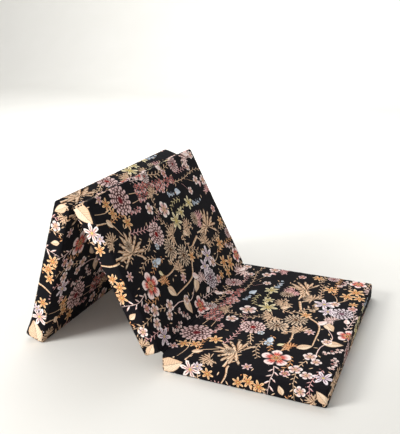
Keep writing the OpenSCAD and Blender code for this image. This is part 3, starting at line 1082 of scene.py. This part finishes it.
SIGNS = {"add": "ADD", "sub": "SUBTRACT", "mul": "MULTIPLY", "truediv": "DIVIDE",
         "pow": "POWER", "abs": "ABSOLUTE", "lt": "LESS_THAN", "gt": "GREATER_THAN"}
for sign, kind in SIGNS.items():
    setattr(Num, f"__{sign}__", operator(kind))


def fill(tree, slot, value):
    """Links a changing value to a socket, or sets a plain one on it."""
    if isinstance(value, Num):
        tree.links.new(value.socket, slot)
    else:
        slot.default_value = value


def new_group(name, inputs, outputs):
    """Starts a shader node group; gives its inputs as values and a function that fills an output."""
    tree = bpy.data.node_groups.new(name, "ShaderNodeTree")
    for label, kind in inputs.items():
        tree.interface.new_socket(label, in_out="INPUT", socket_type="NodeSocket" + kind)
    for label, kind in outputs.items():
        tree.interface.new_socket(label, in_out="OUTPUT", socket_type="NodeSocket" + kind)
    entry, leave = tree.nodes.new("NodeGroupInput"), tree.nodes.new("NodeGroupOutput")
    values = [Num(tree, entry.outputs[label]) for label in inputs]
    return tree, values, lambda label, value: fill(tree, leave.inputs[label], value)


def place_group(tree, group, **values):
    """Places a group in a material and gives its outputs by name; spaces in names are underscores here."""
    node = tree.nodes.new("ShaderNodeGroup")
    node.node_tree = group
    for label, value in values.items():
        fill(tree, node.inputs[label.replace("_", " ")], value)
    return {socket.name: Num(tree, socket) for socket in node.outputs}


def split(tree, vector):
    """The three numbers of a vector."""
    node = tree.nodes.new("ShaderNodeSeparateXYZ")
    fill(tree, node.inputs[0], vector)
    return [Num(tree, socket) for socket in node.outputs]


def join(tree, x, y, z=0.0):
    """A vector from three numbers."""
    node = tree.nodes.new("ShaderNodeCombineXYZ")
    for slot, value in zip(node.inputs, (x, y, z)):
        fill(tree, slot, value)
    return Num(tree, node.outputs[0])


def blend_colours(tree, share, below, above):
    """Lays one colour over another by a share from 0 to 1."""
    node = tree.nodes.new("ShaderNodeMix")
    node.data_type = "RGBA"
    fill(tree, node.inputs[0], share)
    fill(tree, node.inputs[6], below if isinstance(below, Num) else (*below, 1.0))
    fill(tree, node.inputs[7], above if isinstance(above, Num) else (*above, 1.0))
    return Num(tree, node.outputs[2])


def noise(tree, vector, scale, detail=2.0):
    """Cloudy noise: its value and its three-part colour."""
    node = tree.nodes.new("ShaderNodeTexNoise")
    fill(tree, node.inputs["Vector"], vector)
    node.inputs["Scale"].default_value, node.inputs["Detail"].default_value = scale, detail
    return Num(tree, node.outputs[0]), Num(tree, node.outputs[1])


# %% [markdown]
# ## Dyes
# The printer's dyes: each has a pale, a middle and a deep strength. A colour ramp with steps
# picks one by the number that the planting lists carry.

# %% The dye group
def dye(red, green, blue):
    """A colour given in the 0 to 255 of a paint chart, as the linear light that Blender works in."""
    part = np.array([red, green, blue]) / 255
    return tuple(np.where(part <= 0.04045, part / 12.92, ((part + 0.055) / 1.055) ** 2.4).tolist())


DYES = {
    "Pale": [(253, 230, 225), (248, 218, 214), (247, 222, 193), (250, 208, 158),
             (245, 234, 238), (240, 229, 190), (253, 240, 234), (220, 230, 238)],
    "Middle": [(222, 98, 84), (212, 130, 128), (216, 170, 130), (229, 142, 82),
               (212, 186, 200), (208, 188, 122), (238, 192, 182), (166, 184, 204)],
    "Deep": [(122, 22, 26), (108, 32, 40), (70, 42, 26), (116, 50, 26),
             (102, 60, 78), (94, 72, 34), (138, 56, 54), (60, 70, 90)],
}
dye_group, (dye_pick,), dye_out = new_group("dyes", {"Dye": "Float"}, {label: "Color" for label in DYES})
for label, chart in DYES.items():
    ramp = dye_group.nodes.new("ShaderNodeValToRGB")
    ramp.color_ramp.interpolation = "CONSTANT"
    while len(ramp.color_ramp.elements) < len(chart):
        ramp.color_ramp.elements.new(1.0)
    for at, colour in enumerate(chart):
        ramp.color_ramp.elements[at].position = at / len(chart)
        ramp.color_ramp.elements[at].color = (*dye(*colour), 1.0)
    fill(dye_group, ramp.inputs[0], dye_pick)
    dye_out(label, Num(dye_group, ramp.outputs[0]))
print("dyes:", len(DYES["Pale"]))

# %% [markdown]
# ## Petals
# Seen from above, a flower's edge is a circle whose radius swells and shrinks as it goes
# round: 1 - notch + notch * |cos(petals * angle / 2)| ^ point. A small point gives broad round
# petals and a large one gives narrow sharp petals. The group tells how far out a spot lies as
# a part of that edge, and how near it is to the gap between two petals.

# %% The petal group
petal_group, (p_across, p_along, p_petals, p_notch, p_point, p_turn), petal_out = new_group(
    "petals",
    {label: "Float" for label in ("Across", "Along", "Petals", "Notch", "Point", "Turn")},
    {label: "Float" for label in ("Reach", "Radius", "Gap", "Angle")})
radius = (p_across * p_across + p_along * p_along) ** 0.5
angle = p_across.math("ARCTAN2", p_along) + p_turn
half_angle = angle * p_petals * 0.5
edge = p_notch.upside() + p_notch * abs(half_angle.math("COSINE")) ** p_point
petal_out("Reach", radius / edge)
petal_out("Radius", radius)
petal_out("Gap", abs(half_angle.math("SINE")))
petal_out("Angle", angle)

# %% [markdown]
# ## The weave
# Plain weave: each thread is a round ridge, and warp and weft take turns on top like the
# squares of a chessboard. The group gives the height for bump and a tone: random slub in the
# yarn, and painted shade that darkens the dips between the threads.

# %% The weave group
weave_group, (w_cloth, w_pitch), weave_out = new_group(
    "weave", {"Cloth": "Vector", "Pitch": "Float"}, {"Height": "Float", "Tone": "Float"})
w_x, w_y, _ = split(weave_group, w_cloth)
w_x, w_y = w_x / w_pitch, w_y / w_pitch
warp, weft = abs((w_x * math.pi).math("SINE")), abs((w_y * math.pi).math("SINE"))
turn_about = (w_x.math("FLOOR") + w_y.math("FLOOR")).math("FLOORED_MODULO", 2.0)
height = turn_about * warp ** 0.6 + turn_about.upside() * weft ** 0.6
slub, _ = noise(weave_group, w_cloth, 160.0, 3.0)
weave_out("Height", height)
# The tone's height term is painted shade, darker in the dips between threads; the slub term is the yarn's
# own uneven colour.
weave_out("Tone", height * 0.10 + slub * 0.2 + 0.84)

# %% [markdown]
# ## The printed fabric
# The layers are painted from the back to the front, as a textile designer would build them:
# small filler leaves, stems, spikes of tiny florets, tufts, leaves, many-petalled blooms,
# lilies, and last the large blossoms. Each layer works out a mask and a colour. A little
# noise moves every outline and changes the strength of the dye, like brushwork.

# %% Opening the fabric's material
fabric = bpy.data.materials.new("printed_fabric")
fabric.use_nodes = True
tree = fabric.node_tree
uv = tree.nodes.new("ShaderNodeUVMap")
uv.uv_map = "cloth"
cloth_place = Num(tree, uv.outputs[0])
cloth_x, cloth_y, _ = split(tree, cloth_place)
_, wobble = noise(tree, cloth_place, 55.0, 2.0)
wobble_x, wobble_y, _ = split(tree, wobble)
brush, _ = noise(tree, cloth_place, 170.0, 3.0)


def read_three(name):
    """The three numbers that the mesh stores under a name."""
    node = tree.nodes.new("ShaderNodeAttribute")
    node.attribute_type, node.attribute_name = "GEOMETRY", name
    return split(tree, Num(tree, node.outputs["Vector"]))


def stored(name, wobbly):
    """Reads a stored plant: the two numbers of the place, its dyes, and a mask of where it is.

    The noise moves the place by up to half of wobbly either way, in the plant's own measure.
    """
    first, second, pick = read_three(name)
    if wobbly:
        first = first + (wobble_x - 0.5) * wobbly
        second = second + (wobble_y - 0.5) * wobbly
    dyes = place_group(tree, dye_group, Dye=pick)
    dyes["Pick"] = pick
    return first, second, dyes, pick > 0.01


def tone(colour):
    """Darkens a colour here and there with the brushwork."""
    return blend_colours(tree, (brush - 0.40) * 0.8, colour, (0.16, 0.06, 0.05))


# %% Filler leaves, in about one cell out of six
GROUND = (0.0088, 0.0082, 0.0102)
INK = (0.0080, 0.0045, 0.0045)
FILLER, FILLED_ABOVE = 33.0, 0.84
cells = tree.nodes.new("ShaderNodeTexVoronoi")
cells.voronoi_dimensions = "2D"
fill(tree, cells.inputs["Vector"], cloth_place)
cells.inputs["Scale"].default_value = FILLER
cell_r, cell_g, cell_b = split(tree, Num(tree, cells.outputs["Color"]))
mid_x, mid_y, _ = split(tree, Num(tree, cells.outputs["Position"]))
off_x, off_y = (cloth_x - mid_x) * FILLER, (cloth_y - mid_y) * FILLER
spin = cell_r * 6.28
along = off_x * spin.math("COSINE") + off_y * spin.math("SINE")
aside = off_y * spin.math("COSINE") - off_x * spin.math("SINE")
filler = (along * along * -9.0 + 1.0) * 0.085 - abs(aside)
filler = filler.rise(0.0, 0.02) * (cell_g > FILLED_ABOVE)
filler_dyes = place_group(tree, dye_group, Dye=cell_b * 0.10 + 0.26)
ink = blend_colours(tree, filler, GROUND, blend_colours(
    tree, aside.rise(-0.02, 0.02), filler_dyes["Pale"], filler_dyes["Middle"]))

# %% Stems and their leaflets; a thick stem is jointed by rings and darker at its edges
THICK, RING_SPACING, NEAR_NOTHING = 0.003, 0.021, 0.00001
run, aside, dyes, there = stored("stem", 0.0)
aside = aside + (wobble_x - 0.5) * 0.0030
half, leaflet, gap = read_three("stem_size")
beside = abs(aside)
ring = (run / RING_SPACING).math("FRACT")
rings = (abs(ring - 0.5) > 0.45) * (half > THICK)
stalk = (half - beside).rise(0.0, 0.0006) * there
stalk_ink = blend_colours(tree, (aside / half).rise(-0.7, 0.9), dyes["Middle"], dyes["Pale"])
stalk_ink = stalk_ink.under(rings * 0.8, dyes["Deep"])
edges = (beside / half).rise(0.62, 0.95) * (half > 0.002) * 0.7
stalk_ink = stalk_ink.under(edges, dyes["Deep"])
out = beside / leaflet
spaced = (run - beside * 0.9 + gap * 0.5 * (aside > 0.0)) / gap
local = (spaced.math("FRACT") - 0.5) * gap
blade = leaflet * 0.23 * (out * math.pi).math("SINE") - abs(local)
leaflets = blade.rise(0.0, 0.0005) * (out < 1.0) * (half > NEAR_NOTHING) * there
leaflet_ink = blend_colours(tree, local.rise(-0.0006, 0.0006), dyes["Pale"], dyes["Middle"])
ink = ink.under(leaflets, tone(leaflet_ink))
ink = ink.under(stalk, tone(stalk_ink))

# %% Spikes of tiny florets: rows and columns, each floret jogged and turned by its own dice
FLORET, JOG = 0.0150, 0.5
run, aside, dyes, there = stored("spike", 0.0)
half, _, _ = read_three("spike_size")
down = run / FLORET
row = down.math("FLOOR")
stagger = row.math("FLOORED_MODULO", 2.0) * 0.5
over = aside / FLORET + stagger
column = over.math("FLOOR")
keep = half - abs((column + 0.5 - stagger) * FLORET)
dice = tree.nodes.new("ShaderNodeTexWhiteNoise")
dice.noise_dimensions = "2D"
fill(tree, dice.inputs["Vector"], join(tree, row, column))
luck = Num(tree, dice.outputs["Value"])
luck_x, luck_y, _ = split(tree, Num(tree, dice.outputs["Color"]))
floret = place_group(
    tree, petal_group,
    Across=(down.math("FRACT") - 0.5) * 2.0 + (luck_x - 0.5) * JOG + (wobble_x - 0.5) * JOG,
    Along=(over.math("FRACT") - 0.5) * 2.0 + (luck_y - 0.5) * JOG + (wobble_y - 0.5) * JOG,
    Petals=5.0, Notch=0.5, Point=0.8, Turn=luck * 6.0)
mask = floret["Reach"].rise(1.02, 0.95) * (keep > 0.0) * (half > NEAR_NOTHING) * there * (luck > 0.08)
floret_ink = blend_colours(tree, luck.rise(0.1, 0.7), dyes["Deep"], dyes["Middle"])
floret_ink = floret_ink.under(floret["Gap"].rise(0.80, 0.96) * 0.8, INK)
pale_part = (luck_x.rise(0.5, 1.0) + floret["Reach"].rise(0.66, 0.9)) * 0.5
floret_ink = floret_ink.under(pale_part, dyes["Pale"])
ink = ink.under(mask, tone(floret_ink))

# %% Tufts: a crown of pointed blades on a leafy stalk
LEAF_SPACING, LEAF_REACH = 0.26, 0.30
CROWNS = (  # size, blades, turn, how far each is shaded
    (1.0, 15.0, 0.0, 1.0), (0.74, 11.0, 0.3, 0.5), (0.46, 7.0, 0.1, 0.0))
run, aside, dyes, there = stored("tuft", 0.12)
beside = abs(aside)
root = run - beside * 0.8
spaced = (root + (aside > 0.0) * (LEAF_SPACING / 2)) / LEAF_SPACING
local = (spaced.math("FRACT") - 0.5) * LEAF_SPACING
blade = (beside / LEAF_REACH * math.pi).math("SINE") * 0.055 - abs(local)
low_leaves = blade.rise(0.0, 0.014) * (beside < LEAF_REACH) * root.rise(-0.98, -0.94) * (run < -0.05)
stalk = ((run * -0.03 + 0.028) - beside).rise(0.0, 0.012) * (run < 0.0) * (run > -1.25)
ink = ink.under(low_leaves * there, tone(blend_colours(
    tree, local.rise(-0.02, 0.02), dyes["Middle"], dyes["Pale"])))
ink = ink.under(stalk * there, tone(blend_colours(
    tree, aside.rise(-0.03, 0.03), dyes["Middle"], dyes["Pale"])))
for size, blades, shift, back in CROWNS:
    crown = place_group(
        tree, petal_group, Across=(run + 0.08) / size, Along=aside / size, Petals=blades,
        Notch=0.80, Point=1.15, Turn=shift)
    upward = crown["Angle"].math("COSINE")
    blade_ink = blend_colours(tree, crown["Gap"].rise(0.46, 0.16), dyes["Middle"], dyes["Pale"])
    dark_edge = crown["Gap"].rise(0.60, 0.82).math("MAXIMUM", crown["Reach"].rise(0.84, 0.95))
    blade_ink = blade_ink.under(dark_edge, INK)
    blade_ink = blade_ink.under(0.24 * back, dyes["Deep"])
    mask = crown["Reach"].rise(1.0, 0.95) * (upward > -0.25 - 0.3 * back) * there
    ink = ink.under(mask, tone(blade_ink))

# %% Leaves with ribs
LEAF_HALF = 0.27
run, aside, dyes, there = stored("leaf", 0.05)
length = run * 2.0
inside = (length * length * -1.0 + 1.0) * (length * -0.35 + 1.0) * LEAF_HALF - abs(aside)
ribs = ((run - abs(aside) * 0.9) * 62.0).math("SINE").rise(0.75, 0.98) * 0.35
ribs = ribs.math("MAXIMUM", abs(aside).rise(0.014, 0.004) * 0.7)
leaf_ink = blend_colours(tree, aside.rise(-0.01, 0.01) * 0.45, dyes["Pale"], dyes["Middle"])
leaf_ink = leaf_ink.under(ribs, dyes["Deep"])
leaf_ink = leaf_ink.under(inside.rise(0.05, 0.012) * 0.45, dyes["Middle"])
ink = ink.under(inside.rise(0.0, 0.012) * there, tone(leaf_ink))

# %% Many-petalled blooms: four rings of petals; the tan ones are spiky
RINGS = ((1.0, 15.0, 0.0), (0.76, 13.0, 0.5), (0.54, 10.0, 1.1), (0.32, 7.0, 0.2))
run, aside, dyes, there = stored("bloom", 0.16)
spiky = abs(dyes["Pick"] - (TAN + 0.5) / DYE_COUNT) < 0.05
for size, petals, shift in RINGS:
    ring = place_group(
        tree, petal_group, Across=run / size, Along=aside / size, Petals=petals,
        Notch=spiky * 0.34 + 0.26, Point=spiky * 0.9 + 0.6, Turn=shift)
    petal_ink = blend_colours(tree, ring["Reach"].rise(0.62, 0.90), dyes["Middle"], dyes["Pale"])
    shade = (ring["Gap"] ** 4.0).math("MAXIMUM", ring["Reach"].rise(0.82, 0.62))
    hatch = ((ring["Angle"] * 75.0).math("SINE") + brush).rise(0.9, 1.5) * 0.45
    petal_ink = petal_ink.under((shade * 0.8).math("MAXIMUM", hatch), dyes["Deep"])
    parting = ring["Gap"].rise(0.84, 0.95).math("MAXIMUM", ring["Reach"].rise(0.83, 0.77) * (size > 0.4))
    petal_ink = petal_ink.under(parting * 0.85, INK)
    ink = ink.under(ring["Reach"].rise(1.0, 0.965) * there, tone(petal_ink))
ink = ink.under(ring["Reach"].rise(0.6, 0.3) * there, dyes["Deep"])

# %% Lilies with pointed petals
run, aside, dyes, there = stored("lily", 0.14)
star = place_group(
    tree, petal_group, Across=run, Along=aside, Petals=6.0, Notch=0.72, Point=1.7, Turn=0.0)
petal_ink = blend_colours(tree, star["Reach"].rise(0.25, 0.8), dyes["Middle"], dyes["Pale"])
stripe = star["Gap"].rise(0.26, 0.10) * star["Reach"].rise(0.85, 0.6)
petal_ink = petal_ink.under(stripe * 0.8, dyes["Deep"])
dots = ((star["Radius"] * 42.0).math("SINE") > 0.5) * star["Gap"].rise(0.55, 0.3)
dots = dots * star["Reach"].rise(0.75, 0.6)
petal_ink = petal_ink.under(dots * 0.6, dyes["Deep"])
petal_ink = petal_ink.under(star["Radius"].rise(0.17, 0.10), dye(236, 214, 128))
petal_ink = petal_ink.under(star["Gap"].rise(0.86, 0.97) * 0.9, INK)
ink = ink.under(star["Reach"].rise(1.0, 0.96) * there, tone(petal_ink))

# %% Five-petalled blossoms
run, aside, dyes, there = stored("blossom", 0.14)
five = place_group(
    tree, petal_group, Across=run, Along=aside, Petals=5.0, Notch=0.46, Point=0.52, Turn=0.0)
petal_ink = blend_colours(tree, five["Reach"].rise(0.46, 0.84), dyes["Middle"], dyes["Pale"])
veins = ((five["Angle"] * 20.0).math("SINE") + brush * 0.8).rise(0.75, 1.2) * five["Reach"].rise(0.90, 0.62)
heart = five["Radius"].rise(0.42, 0.14)
petal_ink = petal_ink.under(veins.math("MAXIMUM", heart) * 0.72, dyes["Deep"])
petal_ink = petal_ink.under(five["Gap"].rise(0.86, 0.97) * 0.9, INK)
threads = ((five["Angle"] * 14.0).math("SINE") > 0.35) * abs(five["Radius"] - 0.25).rise(0.13, 0.09)
petal_ink = petal_ink.under(threads * 0.85, dye(248, 226, 176))
petal_ink = petal_ink.under(five["Radius"].rise(0.09, 0.05), dye(226, 196, 96))
ink = ink.under(five["Reach"].rise(1.0, 0.96) * there, tone(petal_ink))

# %% Weave, sheen and wear
COVER_THREAD, TAPE_THREAD = 0.0007, 0.0005
weave = place_group(tree, weave_group, Cloth=cloth_place, Pitch=COVER_THREAD)
rumple, _ = noise(tree, cloth_place, 14.0, 3.0)
fine_rumple, _ = noise(tree, cloth_place, 70.0, 2.0)
# The print is multiplied by the weave's tone, which holds painted shade between the threads as well as the
# slub.
dyed_and_thread_shaded = tree.nodes.new("ShaderNodeMix")
dyed_and_thread_shaded.data_type, dyed_and_thread_shaded.blend_type = "RGBA", "MULTIPLY"
dyed_and_thread_shaded.inputs[0].default_value = 1.0
fill(tree, dyed_and_thread_shaded.inputs[6], ink)
fill(tree, dyed_and_thread_shaded.inputs[7], weave["Tone"])
bump = tree.nodes.new("ShaderNodeBump")
bump.inputs["Strength"].default_value, bump.inputs["Distance"].default_value = 1.0, 1.0
fill(tree, bump.inputs["Height"], weave["Height"] * 0.00010 + rumple * 0.0016 + fine_rumple * 0.00022)
cloth_shader = tree.nodes["Principled BSDF"]
tree.links.new(dyed_and_thread_shaded.outputs[2], cloth_shader.inputs["Base Color"])
tree.links.new(bump.outputs[0], cloth_shader.inputs["Normal"])
fill(tree, cloth_shader.inputs["Roughness"], weave["Tone"] * 0.18 + rumple * 0.12 + 0.52)
cloth_shader.inputs["Sheen Weight"].default_value = 0.012
cloth_shader.inputs["Sheen Roughness"].default_value = 0.45
cloth_shader.inputs["Sheen Tint"].default_value = (0.92, 0.92, 1.0, 1.0)
cloth_shader.inputs["Specular IOR Level"].default_value = 0.03
for piece in covers:
    piece.data.materials.append(fabric)
print("printed fabric:", len(tree.nodes), "nodes")

# %% [markdown]
# ## The other materials
# Foam is full of burst bubbles, so its surface is a field of small pits, and the bottom of
# each pit is darkened as painted shade. Zip tape is a herringbone: diagonal ribs that change
# direction in every column, painted darker in the grooves and lighter on the crests as painted
# shade and light. The coil is smooth nylon, and the slider is black lacquer over zinc, rubbed
# through to bright metal where it is handled.

# %% Starting a material
def new_material(name, rough, sheen=0.0):
    """A Principled material and the Object coordinates it reads, in metres."""
    material = bpy.data.materials.new(name)
    material.use_nodes = True
    tree = material.node_tree
    shader = tree.nodes["Principled BSDF"]
    shader.inputs["Roughness"].default_value = rough
    shader.inputs["Sheen Weight"].default_value = sheen
    place = Num(tree, tree.nodes.new("ShaderNodeTexCoord").outputs["Object"])
    return material, tree, shader, place


def add_bump(tree, shader, height):
    """Feeds a height in metres to the shader's normal."""
    bump = tree.nodes.new("ShaderNodeBump")
    bump.inputs["Distance"].default_value = 1.0
    fill(tree, bump.inputs["Height"], height)
    tree.links.new(bump.outputs[0], shader.inputs["Normal"])


# %% Foam
foam, tree, shader, place = new_material("cut_foam", 0.92, 0.15)
pores = tree.nodes.new("ShaderNodeTexVoronoi")
fill(tree, pores.inputs["Vector"], place)
pores.inputs["Scale"].default_value = 620.0
pit = Num(tree, pores.outputs["Distance"])
cloud, _ = noise(tree, place, 9.0, 3.0)
pale_foam = blend_colours(tree, cloud.rise(0.35, 0.7), dye(246, 236, 206), dye(236, 220, 178))
# Painted shade: the bottom of each pit is darkened towards a deeper tan.
foam_with_painted_pit_shade = blend_colours(tree, pit.rise(0.35, 0.1) * 0.5, pale_foam, dye(188, 164, 118))
fill(tree, shader.inputs["Base Color"], foam_with_painted_pit_shade)
add_bump(tree, shader, pit.rise(0.0, 0.5) * 0.0005 + cloud * 0.0008)
for block in foams:
    block.data.materials.append(foam)

# %% Zip tape, with one row of stitches a side
RIB, COLUMN, STITCH, STITCH_LINE = 0.0011, 0.0018, 0.0026, 0.0045
tape_cloth, tree, shader, _ = new_material("zip_tape_weave", 0.8, 0.12)
uv = tree.nodes.new("ShaderNodeUVMap")
uv.uv_map = "cloth"
tape_place = Num(tree, uv.outputs[0])
tape_x, tape_z, _ = split(tree, tape_place)
column = (tape_z / COLUMN).math("FLOOR").math("FLOORED_MODULO", 2.0) * 2.0 - 1.0
rib = abs(((tape_x + column * tape_z) * (math.pi / RIB)).math("SINE"))
weave = place_group(tree, weave_group, Cloth=tape_place, Pitch=TAPE_THREAD)
stitch = (abs(abs(tape_z) - STITCH_LINE) < 0.0003) * ((tape_x / STITCH).math("FRACT") < 0.72)
# Painted light and shade: the tape is darker in the grooves between ribs and lighter on their crests.
tape_ink_with_painted_rib_shade = blend_colours(tree, rib, dye(20, 20, 23), dye(44, 44, 49))
fill(tree, shader.inputs["Base Color"], blend_colours(tree, stitch, tape_ink_with_painted_rib_shade, dye(70, 70, 76)))
fill(tree, shader.inputs["Roughness"], weave["Tone"] * 0.2 + 0.6)
add_bump(tree, shader, rib * 0.00018 + weave["Height"] * 0.00005 + stitch * 0.0002)
for piece in zip_tapes:
    piece.data.materials.append(tape_cloth)

# %% Nylon coil
nylon, tree, shader, place = new_material("nylon_coil", 0.34)
haze, _ = noise(tree, place, 240.0, 3.0)
fill(tree, shader.inputs["Base Color"], blend_colours(tree, haze, dye(28, 28, 32), dye(52, 52, 57)))
fill(tree, shader.inputs["Roughness"], haze * 0.25 + 0.25)
add_bump(tree, shader, haze * 0.00003)
for piece in zip_coils:
    piece.data.materials.append(nylon)

# %% Lacquered metal, also on the stops that stay as modelled
metal, tree, shader, place = new_material("lacquered_zinc", 0.3)
rub, _ = noise(tree, place, 420.0, 4.0)
patch, _ = noise(tree, place, 110.0, 2.0)
node = tree.nodes.new("ShaderNodeNewGeometry")
worn = (Num(tree, node.outputs["Pointiness"]) + rub * 0.06).rise(0.62, 0.68)
worn = worn.math("MAXIMUM", (rub * patch).rise(0.40, 0.47) * 0.35)
fill(tree, shader.inputs["Base Color"], blend_colours(tree, worn, dye(30, 30, 33), dye(150, 148, 144)))
fill(tree, shader.inputs["Metallic"], worn * 0.9 + 0.1)
fill(tree, shader.inputs["Roughness"], rub * 0.2 + worn * 0.1 + 0.2)
shader.inputs["Coat Weight"].default_value = 0.3
add_bump(tree, shader, rub * 0.00004)
for piece in zip_metals:
    piece.data.materials.append(metal)
for name, node in frame["nodes"].items():
    if name.startswith(("zip_top_stop", "zip_bottom_stop")):
        node.data.materials.clear()
        node.data.materials.append(metal)
print("materials:", [material.name for material in bpy.data.materials if material.users])

# %% [markdown]
# ## Floor, light and camera
# A seamless paper sweep carries the floor up into the wall behind it, in one curve. A soft
# light stands at the front left and makes the shadows. A weaker one hangs above and behind,
# for the sides that face up, and a third is turned on the wall. A plain pale sky fills the
# shadows.

# %% The paper sweep
FLOOR_FROM, FLOOR_RUN, SWEEP_RADIUS, WALL_RISE = -7, 13, 1.6, 5


def sweep():
    """A floor that rises into a wall: a flat run, a quarter circle, then straight up."""
    t = np.linspace(0, 1, 60)
    turned = np.clip((t - 0.4) / 0.4, 0, 1) * math.pi / 2
    run = FLOOR_FROM + FLOOR_RUN * np.clip(t / 0.4, 0, 1) + SWEEP_RADIUS * np.sin(turned)
    rise = SWEEP_RADIUS * (1 - np.cos(turned)) + WALL_RISE * np.clip((t - 0.8) / 0.2, 0, 1)
    x = np.linspace(-9, 9, 19)
    points = np.stack([row.ravel() for row in (
        np.tile(x, (60, 1)), np.repeat(run[:, None], 19, 1), np.repeat(rise[:, None], 19, 1))], -1)
    return mesh_piece("paper_sweep", points, grid_faces(60, 19, flip=True))


paper = sweep()

# %% Paper
card, tree, shader, place = new_material("paper", 0.85)
fibre, _ = noise(tree, place, 2.2, 4.0)
fill(tree, shader.inputs["Base Color"], blend_colours(tree, fibre, dye(222, 221, 216), dye(227, 226, 222)))
grain, _ = noise(tree, place, 300.0, 2.0)
add_bump(tree, shader, grain * 0.0001)
paper.data.materials.append(card)

# %% Lights and camera
def soft_light(name, place, aim, size, power, colour):
    """A large square lamp that faces aim."""
    data = bpy.data.lights.new(name, "AREA")
    data.shape, data.size, data.energy, data.color = "SQUARE", size, power, colour
    lamp = bpy.data.objects.new(name, data)
    lamp.location = place
    way = np.array(aim, float) - np.array(place, float)
    lamp.rotation_euler = (math.acos(-way[2] / np.linalg.norm(way)), 0, math.atan2(-way[0], way[1]))
    scene.collection.objects.link(lamp)
    return lamp


soft_light("key", (-2.7, -3.2, 2.4), (0, 0, 0.2), 1.5, 208, (1.0, 0.987, 0.966))
soft_light("top", (-1.6, 2.9, 4.4), (-1.2, 2.2, 0.0), 3.2, 75, (1.0, 1.0, 1.0))
soft_light("wall", (-1.6, 1.8, 4.8), (-1.4, 7.5, 1.8), 4.0, 330, (1.0, 1.0, 1.0))

world = bpy.data.worlds.new("pale_sky")
world.use_nodes = True
world.node_tree.nodes["Background"].inputs["Color"].default_value = (1.0, 0.99, 0.98, 1)
world.node_tree.nodes["Background"].inputs["Strength"].default_value = 0.56
scene.world = world

camera_data = bpy.data.cameras.new("camera")
camera_data.sensor_fit, camera_data.sensor_height, camera_data.lens = "VERTICAL", 36.0, 54.66
camera = bpy.data.objects.new("camera", camera_data)
camera.location = (0.97472, -2.45425, 1.3594)
camera.rotation_euler = (math.radians(90 - 18.597), 0, math.radians(22.711))
scene.collection.objects.link(camera)
scene.camera = camera
scene.view_settings.view_transform = "Standard"
print("camera", tuple(camera.location))
